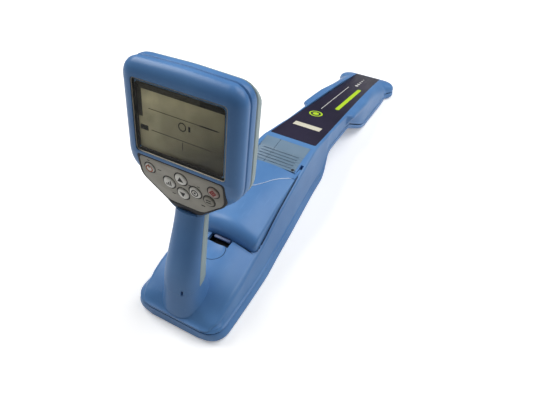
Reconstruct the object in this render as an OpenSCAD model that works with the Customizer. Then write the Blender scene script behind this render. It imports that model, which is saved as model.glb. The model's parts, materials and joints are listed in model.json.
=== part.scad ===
// Cable locator receiver, lying on its back with its handle and display head standing up.
// X runs across it, Y from the near end to the tip of the blade, Z up from the surface it lies on.
// The origin is under the middle of its length and width.

/* [Casing] */
// Length from the near end to the tip of the blade
locator_length = 648; // [600:1:700]
// Width of the casing at its widest
casing_w = 120.8; // [112:0.4:130]
// Height of the ridge between the battery door and the blade
ridge_h = 88; // [80:0.5:96]
// Wall of the casing mouldings
casing_wall = 3; // [2.4:0.1:3.6]
// Thickness of the seal between the casing halves
seal_h = 2; // [1.4:0.1:2.6]
// Corner radius of the near end, seen from above
near_corner_r = 20; // [14:0.5:26]
// Corner radius of the tip, seen from above
tip_corner_r = 14; // [8:0.5:18]

/* [Battery bay] */
// Diameter of a battery cell
cell_d = 33; // [30:0.1:35]
// Length of a battery cell
cell_length = 61.5; // [56:0.5:63]
// Wall of the battery tray
tray_wall = 2; // [1.6:0.1:2.6]
// Wall of the battery door
door_wall = 2.6; // [2:0.1:3.2]
// Gap round the battery door
door_gap = 0.8; // [0.5:0.1:1.2]
// Radius of the hinge pins
hinge_pin_r = 1.6; // [1.3:0.05:1.9]
// Width of the door latch
latch_w = 22; // [18:0.5:26]

/* [Speaker and blade] */
// Width of the speaker grille
grille_w = 68; // [60:0.5:69]
// Length of the speaker grille
grille_length = 52; // [46:0.5:56]
// Diameter of the speaker
speaker_d = 46; // [38:0.5:50]
// Width of the blade panel at its near end
panel_near_w = 72; // [60:0.5:73]
// Width of the blade panel at its tip end
panel_far_w = 48; // [40:0.5:50]
// Thickness of the blade panel
panel_t = 0.8; // [0.5:0.1:1.2]

/* [Handle] */
// Width of the handle where it meets the head
neck_w = 36; // [32:0.5:40]
// Width of the handle just above its foot
grip_w = 44.8; // [40:0.4:50]
// Wall of the handle mouldings
handle_wall = 3; // [2.4:0.1:4]

/* [Head] */
// Width of the display head
head_w = 125; // [118:0.5:132]
// Height of the middle of the display window above the surface
window_z = 239.5; // [230:0.5:250]
// Lean of the head towards the blade, in degrees
head_tilt = 8; // [4:0.5:12]
// Width of the display window
window_w = 98.6; // [90:0.2:102]
// Height of the display window
window_h = 71.2; // [64:0.2:74]
// Thickness of the display window
window_t = 2.4; // [1.8:0.1:2.8]
// Depth of the head from the window to its back
head_depth = 43; // [40:0.5:48]

/* [Keypad] */
// Tilt of the keypad from the window, in degrees
keypad_tilt = 11; // [6:0.5:14]
// Diameter of the four main keys
key_d = 12.6; // [10:0.2:13]
// Diameter of the power key
power_key_d = 10.4; // [8:0.2:12]
// Diameter of the two side keys
side_key_d = 11.2; // [9:0.2:12]
// Travel of each key
key_travel = 0.8; // [0.5:0.1:0.9]
// Height of a key above the keypad
key_rise = 1.3; // [1.0:0.1:2.0]

/* [Hidden] */

// Colours of the mouldings and fittings
blue = [0.22, 0.42, 0.68];
deep_blue = [0.12, 0.24, 0.42];
grip_grey = [0.66, 0.70, 0.66];
panel_grey = [0.60, 0.59, 0.56];
black = [0.07, 0.07, 0.08];
steel = [0.72, 0.73, 0.75];
board_green = [0.08, 0.32, 0.20];
copper = [0.62, 0.34, 0.16];
key_white = [0.85, 0.84, 0.80];

// Overrun of every cut, and the clearances
overrun = 2;
slip = 0.15;
free_gap = 0.35;
running_gap = 0.05;
fine = 64;
middle = 0.5;
least_r = 0.4;

// Smooth curve through a table of [place, value], with no overshoot
function secant(table, i) = (table[i + 1][1] - table[i][1]) / (table[i + 1][0] - table[i][0]);
function tangent(table, i) =
    i == 0 ? secant(table, 0)
    : i == len(table) - 1 ? secant(table, i - 1)
    : let (a = secant(table, i - 1), b = secant(table, i)) a * b <= 0 ? 0 : 2 * a * b / (a + b);
function span(table, t, i = 0) = i >= len(table) - 2 || t < table[i + 1][0] ? i : span(table, t, i + 1);
function curve(table, t) =
    let (
        i = span(table, t),
        h = table[i + 1][0] - table[i][0],
        u = (t - table[i][0]) / h,
        a = table[i][1],
        b = table[i + 1][1],
        ta = tangent(table, i) * h,
        tb = tangent(table, i + 1) * h
    )
    a + ta * u + (3 * (b - a) - 2 * ta - tb) * u * u + (2 * (a - b) + ta + tb) * u * u * u;

// Solid through rings of points of equal count, closed at both ends by fans from given centres
function mean(ring) = [for (k = [0 : 2]) [for (p = ring) p[k]] * [for (p = ring) 1] / len(ring)];
module skin(rings, flip = false, ends = undef) {
    n = len(rings[0]);
    m = len(rings);
    tips = is_undef(ends) ? [mean(rings[0]), mean(rings[m - 1])] : ends;
    points = concat([for (ring = rings) each ring], tips);
    sides = [
        for (j = [0 : m - 2], i = [0 : n - 1])
            let (a = j * n + i, b = j * n + (i + 1) % n, c = b + n, d = a + n)
            each [[a, b, c], [a, c, d]]
    ];
    caps = [
        for (i = [0 : n - 1])
            let (k = (i + 1) % n) each [[m * n, k, i], [m * n + 1, (m - 1) * n + i, (m - 1) * n + k]]
    ];
    faces = concat(sides, caps);
    polyhedron(points, flip ? [for (f = faces) [f[0], f[2], f[1]]] : faces, convexity = 10);
}

// Outline with round corners, moved inwards by an inset; the corners run anticlockwise
function turn_of(points, i) =
    let (n = len(points), a = points[i] - points[(i + n - 1) % n], b = points[(i + 1) % n] - points[i])
    (atan2(b[1], b[0]) - atan2(a[1], a[0]) + 720) % 360;
function edge_normal(points, i) =
    let (d = points[(i + 1) % len(points)] - points[i]) [d[1], -d[0]] / norm(d);
function moved_in(points, i, inset) =
    let (a = edge_normal(points, (i + len(points) - 1) % len(points)), b = edge_normal(points, i))
    points[i] - inset * (a + b) / (1 + a * b);
function outline(points, radii, inset = 0, steps = 7) = [
    for (i = [0 : len(points) - 1])
        let (
            reach = max(radii[i], inset + least_r),
            centre = moved_in(points, i, reach),
            a = edge_normal(points, (i + len(points) - 1) % len(points)),
            start = atan2(a[1], a[0])
        )
        for (k = [0 : steps])
            let (angle = start + turn_of(points, i) * k / steps)
            centre + (reach - inset) * [cos(angle), sin(angle)]
];

// Casing form: places along it are shares of its length, from the near end to the tip
function along(share) = locator_length * (share - middle);
half_w = casing_w / 2;
station_shares = [
    0, 0.0025, 0.006, 0.0095, 0.013, 0.0175, 0.0223, 0.03, 0.04, 0.0543, 0.0725, 0.0925, 0.117,
    0.142, 0.16, 0.172, 0.187, 0.204, 0.2223, 0.242, 0.262, 0.283, 0.305, 0.327, 0.3473, 0.372,
    0.397, 0.417, 0.43, 0.4395, 0.4458, 0.462, 0.477, 0.489, 0.498, 0.506, 0.513, 0.52, 0.527,
    0.535, 0.547, 0.567, 0.6, 0.63, 0.64, 0.6445, 0.6475, 0.6505, 0.654, 0.658, 0.664, 0.672,
    0.68, 0.69, 0.703, 0.7176, 0.735, 0.75, 0.763, 0.7716, 0.785, 0.805, 0.845, 0.9, 0.9275, 0.938,
    0.947, 0.9545, 0.962, 0.97, 0.98, 0.988, 0.994, 0.9975, 1
];
// Half width at the widest, as a share of the half width; the shoulders keep a margin beside the grille
shoulder_near = 17.94;
shoulder_mid = 13.72;
shoulder_far = 8.58;
function shoulder_share(margin) = (grille_w / 2 + margin) / half_w;
width_shares = [
    [0, 0.985], [0.04, 1], [0.075, 1], [0.162, 0.985], [0.2222, 0.93],
    [0.301, shoulder_share(shoulder_near)], [0.3673, shoulder_share(shoulder_mid)],
    [0.455, shoulder_share(shoulder_far)], [0.497, 0.68], [0.512, 0.665], [0.5325, 0.63],
    [0.5556, 0.622], [0.6389, 0.611], [0.6435, 0.618], [0.648, 0.655], [0.652, 0.715],
    [0.657, 0.753], [0.665, 0.768], [0.69, 0.771], [0.7948, 0.77], [0.8441, 0.785], [0.9028, 0.805],
    [0.9275, 0.803], [0.9429, 0.775], [0.9522, 0.81], [0.9645, 0.905], [0.9738, 0.935],
    [1, 0.925]
];
// Height of the joint between the halves, as a share of the ridge height
parting_shares = [
    [0, 0.19], [0.489, 0.19], [0.501, 0.23], [0.52, 0.46], [0.537, 0.55], [0.5556, 0.54],
    [0.64, 0.49], [0.668, 0.475], [0.7, 0.365], [0.735, 0.24], [0.76, 0.18], [0.78, 0.165],
    [0.9, 0.16], [1, 0.16]
];
// Height of the underside, as a share of the ridge height
floor_shares = [
    [0, 0.03], [0.007, 0.006], [0.013, 0], [0.489, 0], [0.502, 0.05], [0.523, 0.32],
    [0.539, 0.41], [0.5556, 0.42], [0.6389, 0.385], [0.668, 0.372], [0.69, 0.285],
    [0.735, 0.125], [0.762, 0.03], [0.775, 0], [0.985, 0], [1, 0.025]
];
// Height of the edge of the top, as a share of the ridge height
edge_shares = [
    [0, 0.232], [0.006, 0.243], [0.0105, 0.275], [0.016, 0.305], [0.0263, 0.335],
    [0.0415, 0.385], [0.0545, 0.43], [0.0925, 0.502], [0.1285, 0.52], [0.1623, 0.532],
    [0.1763, 0.545], [0.1913, 0.57], [0.2223, 0.665], [0.2623, 0.77], [0.3053, 0.848],
    [0.3623, 0.95], [0.4023, 0.988], [0.4323, 1], [0.4429, 0.9886], [0.4468, 0.9839],
    [0.9885, 0.3146], [0.9945, 0.295], [1, 0.25]
];
// Rise of the middle of the top above its edge, as a share of the ridge height
crown_shares = [
    [0, 0.004], [0.0105, 0.02], [0.0263, 0.075], [0.0543, 0.09], [0.1623, 0.105], [0.1773, 0.1],
    [0.2423, 0.03], [0.3923, 0.028], [0.4323, 0.005], [0.4429, 0], [1, 0]
];
// How far the top edge stands in from the widest line, as a share of the half width
setback_shares = [
    [0, 0.075], [0.006, 0.11], [0.0125, 0.15], [0.0263, 0.155], [0.0543, 0.13], [0.0923, 0.12],
    [0.1623, 0.175], [0.2233, 0.14], [0.3013, 0.1], [0.3673, 0.055], [0.4423, 0.035],
    [0.5023, 0.03], [0.5323, 0.012], [0.77, 0.012], [0.82, 0.03], [1, 0.03]
];
// Radius of the top edge, as a share of the half width
round_shares = [
    [0, 0.03], [0.0125, 0.075], [0.0263, 0.11], [0.0923, 0.12], [0.1523, 0.095],
    [0.1723, 0.065], [0.3723, 0.06], [0.64, 0.06], [0.66, 0.085], [0.72, 0.095], [0.757, 0.105],
    [0.79, 0.13], [0.85, 0.22], [0.91, 0.32], [0.945, 0.31], [0.965, 0.42], [0.985, 0.42], [1, 0.23]
];
// Most of that radius, as a share of the height of the wall
round_limit_share = 0.45;
round_limit_shares = [
    [0, round_limit_share], [0.76, round_limit_share], [0.85, 0.8], [0.91, 1], [0.965, 2], [1, 2]
];
// Height of the rounding of that edge, as a share of its width
fall_shares = [[0, 1], [0.757, 1], [0.79, 1.15], [0.85, 1.65], [0.91, 0.9], [0.95, 0.7], [1, 0.6]];
// How far the pod's underside is tucked in below its shoulder, as a share of the half width
tuck_shares = [
    [0, 0], [0.6389, 0], [0.6435, 0.006], [0.648, 0.045], [0.652, 0.105], [0.657, 0.143], [0.672, 0.157],
    [0.69, 0.13], [0.72, 0.04], [0.74, 0], [1, 0]
];
// How far the joint stands in from the widest line, and the width of the flange above it
lean_shares = [[0, 0.045], [0.472, 0.045], [0.522, 0.012], [1, 0.012]];
flange_shares = [[0, 0.05], [0.162, 0.045], [0.352, 0.03], [0.472, 0.02], [0.532, 0.012], [1, 0.012]];
flange_h = 4.5;
flange_profile_shares = [
    [0.45, 0], [0.05, 0.18], [0, 0.35], [0.12, 0.55], [0.72, 0.78], [0.94, 0.9], [1, 1]
];
flange_limit_share = 0.45;
fall_limit_share = 0.8;
belly_share = 0.55;
belly_r_share = 0.17;
edge_steps = 6;
crown_steps = 4;
belly_steps = 5;

function corner_drop(d, r) = d >= r ? 0 : r - sqrt(r * r - (r - d) * (r - d));
function wide(t) =
    half_w * curve(width_shares, t) - corner_drop(t * locator_length, near_corner_r)
    - corner_drop((1 - t) * locator_length, tip_corner_r);
function low_w(t) = wide(t) - half_w * curve(tuck_shares, t);
function joint_w(t) = low_w(t) - half_w * curve(lean_shares, t);
function joint_z(t) = ridge_h * curve(parting_shares, t);
function floor_z(t) = ridge_h * curve(floor_shares, t);
function edge_z(t) = ridge_h * curve(edge_shares, t);
function crown_h(t) = ridge_h * curve(crown_shares, t);
function edge_w(t) = wide(t) - half_w * curve(setback_shares, t);
function wall_h(t) = edge_z(t) - joint_z(t) - seal_h / 2;
function edge_r(t) = min(half_w * curve(round_shares, t), wall_h(t) * curve(round_limit_shares, t));
function flange_rise(t) = min(flange_h, wall_h(t) * flange_limit_share);
function edge_fall(t) = min(
    edge_r(t) * curve(fall_shares, t), wall_h(t) * fall_limit_share, wall_h(t) - flange_rise(t)
);
function flange_w(t) = half_w * curve(flange_shares, t);
function top_w(t) = edge_w(t) - edge_r(t);
function top_z(t, x = 0) = edge_z(t) + crown_h(t) * (1 - pow(min(abs(x) / top_w(t), 1), 2));
function whole(half) = concat(half, [for (k = [len(half) - 2 : -1 : 0]) [-half[k][0], half[k][1]]]);
function ring_at(t, half) = [for (p = whole(half)) [p[0], along(t), p[1]]];

function upper_half(t) =
    let (
        z = joint_z(t) + seal_h / 2,
        h = flange_rise(t),
        w = joint_w(t),
        r = edge_r(t),
        fall = edge_fall(t),
        wt = top_w(t)
    )
    concat(
        [for (p = flange_profile_shares) [w - flange_w(t) * p[0], z + h * p[1]]],
        [
            for (k = [0 : edge_steps])
                let (a = 90 * k / edge_steps) [wt + r * cos(a), edge_z(t) - fall + fall * sin(a)]
        ],
        [for (k = [1 : crown_steps]) let (x = wt * (1 - k / crown_steps)) [x, top_z(t, x)]]
    );
function lower_half(t) =
    let (
        z = joint_z(t) - seal_h / 2,
        h = z - floor_z(t),
        r = min(half_w * belly_r_share, low_w(t) * middle),
        rise = h * belly_share,
        w = joint_w(t),
        lip = flange_w(t) * flange_profile_shares[0][0]
    )
    concat(
        [[w - lip, z], [w, z - h * middle * flange_profile_shares[1][1]]],
        [
            for (k = [0 : belly_steps])
                let (a = 90 * k / belly_steps)
                [low_w(t) - r + r * cos(a), floor_z(t) + rise - rise * sin(a)]
        ],
        [[0, floor_z(t)]]
    );

// Hollow of each half, a wall inside its outer form
hollow_near_share = 0.02;
hollow_far_share = 0.99;
hollow_shares = [for (t = station_shares) if (t > hollow_near_share && t < hollow_far_share) t];
// The roof is thicker, and flat beneath, from the latch to the hinge
ledge_d = 2.2;
ledge_zone_shares = [[0, 0], [0.102, 0], [0.132, 1], [0.347, 1], [0.364, 0], [1, 0]];
function ledge_z(t) = edge_z(t) - ledge_d;
function roof_z(t, x) =
    let (zone = curve(ledge_zone_shares, t))
    edge_z(t) - casing_wall - ledge_d * zone + (top_z(t, x) - edge_z(t)) * (1 - zone);
function upper_hollow_half(t) =
    let (
        z = joint_z(t) + seal_h / 2,
        w = min(joint_w(t) - flange_w(t), edge_w(t)) - casing_wall,
        wt = top_w(t)
    )
    concat(
        [[w, z - overrun], [edge_w(t) - casing_wall, edge_z(t) - max(edge_fall(t), casing_wall)]],
        [[wt - casing_wall * middle, roof_z(t, wt)]],
        [for (k = [2, 4]) let (x = wt * (1 - k / crown_steps)) [x, roof_z(t, x)]]
    );
function lower_hollow_half(t) =
    let (
        z = joint_z(t) - seal_h / 2,
        w = joint_w(t) - flange_w(t) - casing_wall,
        r = half_w * belly_r_share,
        low = min(floor_z(t) + casing_wall, z),
        bend_z = max(low, min(z, floor_z(t) + (z - floor_z(t)) * belly_share))
    )
    [[w, z + overrun], [w, bend_z], [w - r * middle, low], [0, low]];
module upper_form() {
    rings = [for (t = station_shares) ring_at(t, upper_half(t))];
    skin(rings);
}
module lower_form() {
    rings = [for (t = station_shares) ring_at(t, lower_half(t))];
    skin(rings, true);
}
module upper_hollow() {
    skin([for (t = hollow_shares) ring_at(t, upper_hollow_half(t))]);
}
module lower_hollow() {
    skin([for (t = hollow_shares) ring_at(t, lower_hollow_half(t))], true);
}
// Flat band between two half widths' worth of setback, as deep as the seal
module seal_form(setback, near_share, far_share, extra) {
    ts = [for (t = station_shares) if (t >= near_share && t <= far_share) t];
    function half(t) =
        let (w = joint_w(t) - setback, h = seal_h / 2 + extra)
        [[w, joint_z(t) - h], [w, joint_z(t) + h], [0, joint_z(t) + h]];
    function band(t) = let (p = half(t)) concat(p, [[-p[1][0], p[1][1]], [-p[0][0], p[0][1]]]);
    rings = [for (t = ts) [for (p = band(t)) [p[0], along(t), p[1]]]];
    skin(rings);
}

// Prism with its outline in the Y and Z directions, centred across the casing
module side_prism(points, width) rotate([90, 0, 90]) linear_extrude(width, center = true) polygon(points);
module cross_bar(y, z, r, length) translate([0, y, z]) rotate([0, 90, 0])
    cylinder(r = r, h = length, center = true, $fn = fine);
module both_sides(x) for (side = [-1, 1]) translate([side * x, 0, 0]) children();
reach = casing_w * 2;

// Handle form: height share, place along the casing, width share, depth to width
grip_top_z = window_z - window_h * 1.278;
grip_place_shares = [
    [0.13, 0.0509], [0.19, 0.0502], [0.242, 0.0483], [0.296, 0.0457], [0.364, 0.0441],
    [0.431, 0.046], [0.525, 0.0517], [0.62, 0.0591], [0.714, 0.0671], [0.808, 0.075],
    [0.889, 0.0812], [0.95, 0.086], [1, 0.0898]
];
grip_width_shares = [
    [0.13, 2.73], [0.19, 2.27], [0.242, 1.82], [0.296, 1.45], [0.364, 1.136], [0.431, 1],
    [0.525, 0.864], [0.62, 0.614], [0.714, 0.386], [0.808, 0.18], [0.889, 0.045], [0.95, 0],
    [1, 0]
];
grip_depth_shares = [
    [0.13, 1.07], [0.19, 1.1], [0.242, 1.058], [0.296, 0.984], [0.364, 0.913], [0.431, 0.884],
    [0.525, 0.862], [0.62, 0.845], [0.714, 0.827], [0.808, 0.787], [0.889, 0.747], [1, 0.744]
];
grip_square = 2.3;
grip_points = 40;
foot_low_share = 0.13;
foot_high_share = 0.63;
handle_low_share = 0.24;
foot_seam_share = 0.0355;
foot_seam_z = window_z * 0.251;
foot_seam_tilt = 20;
function grip_y(h) = along(curve(grip_place_shares, h));
function grip_half(h) = neck_w / 2 + (grip_w - neck_w) / 2 * curve(grip_width_shares, h);
function grip_depth(h) = grip_half(h) * curve(grip_depth_shares, h);
function bent(c) = sign(c) * pow(abs(c), 2 / grip_square);
function grip_ring(h, inset) = [
    for (k = [0 : grip_points - 1])
        let (a = -360 * k / grip_points)
        [
            (grip_half(h) - inset) * bent(cos(a)), grip_y(h) + (grip_depth(h) - inset) * bent(sin(a)),
            grip_top_z * h
        ]
];
module grip_form(low, high, inset = 0) {
    rises = [for (p = grip_place_shares) if (p[0] >= low && p[0] <= high) p[0]];
    between = [for (i = [0 : len(rises) - 2]) each [rises[i], (rises[i] + rises[i + 1]) / 2]];
    hs = concat(between, [rises[len(rises) - 1]]);
    skin([for (h = hs) grip_ring(h, inset)]);
}
// Everything above the seam between the casing's foot and the handle, and everything below it
module above_seam() translate([0, along(foot_seam_share), foot_seam_z]) rotate([foot_seam_tilt, 0, 0])
    translate([-reach, -reach, 0]) cube(2 * reach);
module below_seam() translate([0, along(foot_seam_share), foot_seam_z - slip]) rotate([foot_seam_tilt, 0, 0])
    translate([-reach, -reach, -2 * reach]) cube(2 * reach);
// The foot ends above the seal between the halves
module above_joint()
    translate([-reach, along(foot_seam_share) - reach, joint_z(foot_seam_share) + seal_h / 2])
        cube([2 * reach, 2 * reach, reach]);

// Battery door form: places along it are shares of its own length
door_near_share = 0.1598;
door_far_share = 0.3458;
door_length = locator_length * (door_far_share - door_near_share);
door_corner_r = 7;
door_front_share = 0.13;
door_centre_shares = [[0, 0.868], [0.13, 0.878], [0.5, 0.94], [1, 0.983]];
door_edge_shares = [[0, 0.735], [0.13, 0.755], [0.5, 0.85], [1, 0.935]];
door_station_shares = [
    0, 0.004, 0.012, 0.024, 0.04, 0.058, 0.078, 0.1, 0.13, 0.17, 0.22, 0.28, 0.35, 0.43, 0.52, 0.61,
    0.71, 0.81, 0.91, 1
];
door_hollow_near_share = 0.03;
door_hollow_far_share = 0.95;
// Towards the near end the seat of the door, and its rim, rise with the crown of the casing
ledge_rise_share = 0.13;
rim_steps = 8;
door_edge_r = 4;
door_edge_steps = 4;
door_crown_steps = 5;
function door_t(u) = door_near_share + (door_far_share - door_near_share) * u;
function door_swell(u) = u >= door_front_share ? 1 : u <= 0 ? 0 : sqrt(1 - pow(1 - u / door_front_share, 2));
function door_rise(shares, u, base) = base + (ridge_h * curve(shares, max(u, 0)) - base) * door_swell(u);
function door_centre_z(u, base) = door_rise(door_centre_shares, u, base);
function door_edge_z(u, base) = door_rise(door_edge_shares, u, base);
function door_w(u, gap) =
    top_w(door_t(u)) - gap - corner_drop(max(u * door_length - gap, 0), door_corner_r);
function ledge_rise(u, x) =
    crown_h(door_near_share) * max(0, 1 - u / ledge_rise_share) * (1 - pow(x / top_w(door_t(u)), 2));
function rim(u, w, z) = [
    for (k = [1 : rim_steps - 1]) let (x = w * (2 * k / rim_steps - 1)) [x, z + ledge_rise(u, x)]
];
function door_low_z(u, drop) = ledge_z(door_t(u)) + free_gap - drop;
function door_half(u, inset, drop) =
    let (
        lag = inset / door_length,
        w = door_w(u, door_gap) - inset,
        low = door_low_z(u, drop) + ledge_rise(u, w),
        centre = door_centre_z(u - lag, top_z(door_near_share)) - inset,
        edge = max(door_edge_z(u - lag, edge_z(door_near_share)), ledge_z(door_t(u)) + 2 * inset) - inset,
        r = min(door_edge_r, (edge - low) * round_limit_share)
    )
    concat(
        [[w, low]],
        [
            for (k = [0 : door_edge_steps])
                let (a = 90 * k / door_edge_steps) [w - r + r * cos(a), edge - r + r * sin(a)]
        ],
        [
            for (k = [1 : door_crown_steps])
                let (f = 1 - k / door_crown_steps) [(w - r) * f, edge + (centre - edge) * (1 - f * f)]
        ]
    );
function door_ring(u, inset, drop) =
    let (half = door_half(u, inset, drop)) concat(whole(half), rim(u, half[0][0], door_low_z(u, drop)));
module door_form(shares, inset = 0, drop = 0) {
    near_gap = door_gap / door_length;
    us = [for (u = shares) near_gap + u * (1 - 2 * near_gap)];
    rings = [for (u = us) [for (p = door_ring(u, inset, drop)) [p[0], along(door_t(u)), p[1]]]];
    skin(rings);
}
module door_recess() {
    rings = [
        for (u = door_station_shares)
            let (w = door_w(u, 0), y = along(door_t(u)), z = ledge_z(door_t(u)), end_z = z + ledge_rise(u, w))
            concat(
                [[w, y, end_z], [w, y, ridge_h + reach], [-w, y, ridge_h + reach], [-w, y, end_z]],
                [for (p = rim(u, w, z)) [p[0], y, p[1]]]
            )
    ];
    skin(rings);
}

// Hinge of the door: arms on the door run on pins set in cheeks of the casing
hinge_y = along(0.3628);
hinge_z = ridge_h * 0.882;
arm_r = 4.6;
arm_w = 3.6;
arm_out_x = top_w(door_far_share) - door_gap;
arm_in_x = arm_out_x - arm_w;
arm_mid_x = (arm_in_x + arm_out_x) / 2;
arm_heel = 3;
arm_root_y = along(door_t(0.93));
cheek_w = 5.4;
cheek_r = arm_r + arm_heel;
slot_w = arm_w + 2 * free_gap;
slot_y = arm_root_y - door_gap;
slot_z = hinge_z - arm_r - free_gap;
pin_grip = 2;

// Latch: a finger lever on a pin across the near end of the door
latch_y = along(0.166);
latch_z = edge_z(door_near_share) + ridge_h * 0.044;
latch_r = 3;
latch_pin_r = 1.2;
latch_pocket_y = along(0.1413);
latch_pocket_end_y = along(0.1748);
latch_pocket_z = edge_z(door_near_share) - casing_wall;
latch_tab = (latch_y - latch_pocket_y) * 0.34;
latch_tab_t = 2.6;
latch_foot = latch_z - latch_pocket_z - 2 * free_gap;
latch_lug_w = 2.6;
latch_lug_h = ridge_h * 0.3;
latch_lug_y = along(door_near_share) + 2 * door_gap;
latch_pocket_w = latch_w + 2 * (free_gap + latch_lug_w + door_gap);

// Dish for a thumb in front of the latch
dish_share = 0.1268;
dish_r = 15.5;
dish_d = 2.2;
dish_ball_r = (dish_r * dish_r + dish_d * dish_d) / (2 * dish_d);
dish_tilt = 5;

// Bay for the cells under the door
bay_near_y = along(0.1913);
bay_far_y = along(0.3248);

// Speaker grille plane
door_relief = 2 * door_gap;
grille_near_share = door_far_share + door_relief / locator_length;
grille_far_share = grille_near_share + grille_length / locator_length;
grille_near_z = top_z(grille_near_share, grille_w / 2) + ridge_h * 0.012;
grille_far_z = top_z(grille_far_share, grille_w / 2) + ridge_h * 0.006;
grille_tilt = asin((grille_far_z - grille_near_z) / grille_length);
grille_t = 2.6;
grille_seat_w = 4;
grille_seat_t = 3.4;
grille_seat_x = grille_w / 2 + slip + grille_seat_w;
module on_grille() translate([0, along(grille_near_share), grille_near_z]) rotate([grille_tilt, 0, 0])
    children();

// Blade panel plane, down the straight part of the blade
panel_near_share = 0.4475;
panel_far_share = 0.986;
panel_run = locator_length * (panel_far_share - panel_near_share);
panel_fall = (edge_z(panel_far_share) - edge_z(panel_near_share)) / panel_run;
panel_length = panel_run * sqrt(1 + panel_fall * panel_fall);
panel_sunk = 0.5;
panel_corner_r = 3;
module on_panel() translate([0, along(panel_near_share), edge_z(panel_near_share)])
    rotate([atan(panel_fall), 0, 0]) children();
module panel_plan(grow) {
    a = panel_near_w / 2 + grow;
    b = panel_far_w / 2 + grow;
    points = [[a, -grow], [b, panel_length + grow], [-b, panel_length + grow], [-a, -grow]];
    polygon(outline(points, [for (p = points) panel_corner_r], 0));
}

// Screws through the rear shell into posts of the front shell
screw_shares = [
    [0.62, 0.0523], [0.62, 0.1403], [0.56, 0.3373], [0.5, 0.4458], [0.4, 0.6], [0.5, 0.79], [0.5, 0.92]
];
post_r = 4.5;
screw_r = 1.8;
screw_head_r = 3.6;
screw_head_h = 2;
screw_sink = 2.4;
screw_bite = 10;
module each_screw() for (p = screw_shares, side = [-1, 1]) {
    $share = p[1];
    $off = half_w * p[0];
    translate([side * half_w * p[0], along(p[1]), 0]) children();
}
function seat_z(t) = joint_z(t) - seal_h / 2;
function post_top_z(t, x) =
    let (step = post_r / locator_length)
    min([for (k = [-1, 0, 1], j = [0, 1]) roof_z(t + k * step, x + j * post_r)]) + casing_wall / 2;

// Spine that carries the two antennas, and the posts under it
spine_near_share = 0.4553;
spine_far_share = 0.841;
spine_near_z = ridge_h * 0.74;
spine_far_z = ridge_h * 0.285;
spine_w = 22;
spine_t = 3;
spine_post_shares = [0.4723, 0.79];
upper_antenna_share = 0.49;
lower_antenna_share = 0.82;
core_r = 4;
coil_r = 7.5;
upper_core_length = 60;
lower_core_length = 80;
coil_share = 0.72;
spine_fall = (spine_near_z - spine_far_z) / (locator_length * (spine_far_share - spine_near_share));
function spine_z(t) = spine_near_z - spine_fall * locator_length * (t - spine_near_share);
spine_lean = sqrt(1 + spine_fall * spine_fall);
function spine_low_z(t) = spine_z(t) - spine_t * spine_lean - post_r * spine_fall;
upper_antenna_z = spine_z(upper_antenna_share) + (coil_r + slip) * spine_lean;
lower_antenna_z = spine_z(lower_antenna_share) - (spine_t + coil_r + slip) * spine_lean;

// Main board on its posts
board_t = 1.6;
board_share = 0.3923;
board_w = 60;
board_length = 46;
board_z = ridge_h * 0.34;
board_post_share = 0.82;
board_post_x = board_w / 2 * board_post_share;
board_post_y = board_length / 2 * board_post_share;
module at_board_posts() for (i = [-1, 1], j = [-1, 1])
    translate([i * board_post_x, along(board_share) + j * board_post_y, 0]) children();

// Battery tray on the floor of the rear shell
tray_share = 0.2548;
cell_gap = 0.5;
contact_space = 4.6;
tray_in_x = cell_length / 2 + contact_space;
cell_pitch = cell_d + 2 * cell_gap;
bay_w = 2 * (tray_in_x + 2 * cell_gap);
tray_length = 2 * cell_pitch + 2 * tray_wall;
tray_floor_z = casing_wall;
cell_z = tray_floor_z + tray_wall + cell_gap + cell_d / 2;
tray_h = cell_d * 0.7;

module rear_shell() color(blue) difference() {
    union() {
        difference() {
            lower_form();
            lower_hollow();
        }
        each_screw() translate([0, 0, floor_z($share) + casing_wall / 2])
            cylinder(r = post_r, h = seat_z($share) - floor_z($share) - casing_wall / 2, $fn = fine);
        at_board_posts() translate([0, 0, casing_wall / 2])
            cylinder(r = post_r, h = board_z - casing_wall / 2, $fn = fine);
        for (t = spine_post_shares) translate([0, along(t), casing_wall / 2])
            cylinder(r = post_r, h = spine_low_z(t) - casing_wall / 2, $fn = fine);
    }
    each_screw() translate([0, 0, floor_z($share) - overrun]) {
        cylinder(r = screw_head_r + free_gap, h = screw_sink + overrun, $fn = fine);
        cylinder(r = screw_r + free_gap, h = seat_z($share) - floor_z($share) + 2 * overrun, $fn = fine);
    }
}

module casing_screws() color(steel) each_screw() translate([0, 0, floor_z($share)]) {
    translate([0, 0, screw_sink - screw_head_h]) cylinder(r = screw_head_r, h = screw_head_h, $fn = fine);
    cylinder(r = screw_r, h = seat_z($share) - floor_z($share) + screw_bite, $fn = fine);
}

module casing_seal() color(black) difference() {
    seal_form(seal_in_w, seal_near_share, 1 - seal_near_share, 0);
    seal_form(seal_in_w + seal_w, seal_near_share * 2, 1 - seal_near_share * 2, overrun);
}
seal_in_w = 2.2;
seal_w = 2.8;
seal_near_share = 0.006;

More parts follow.
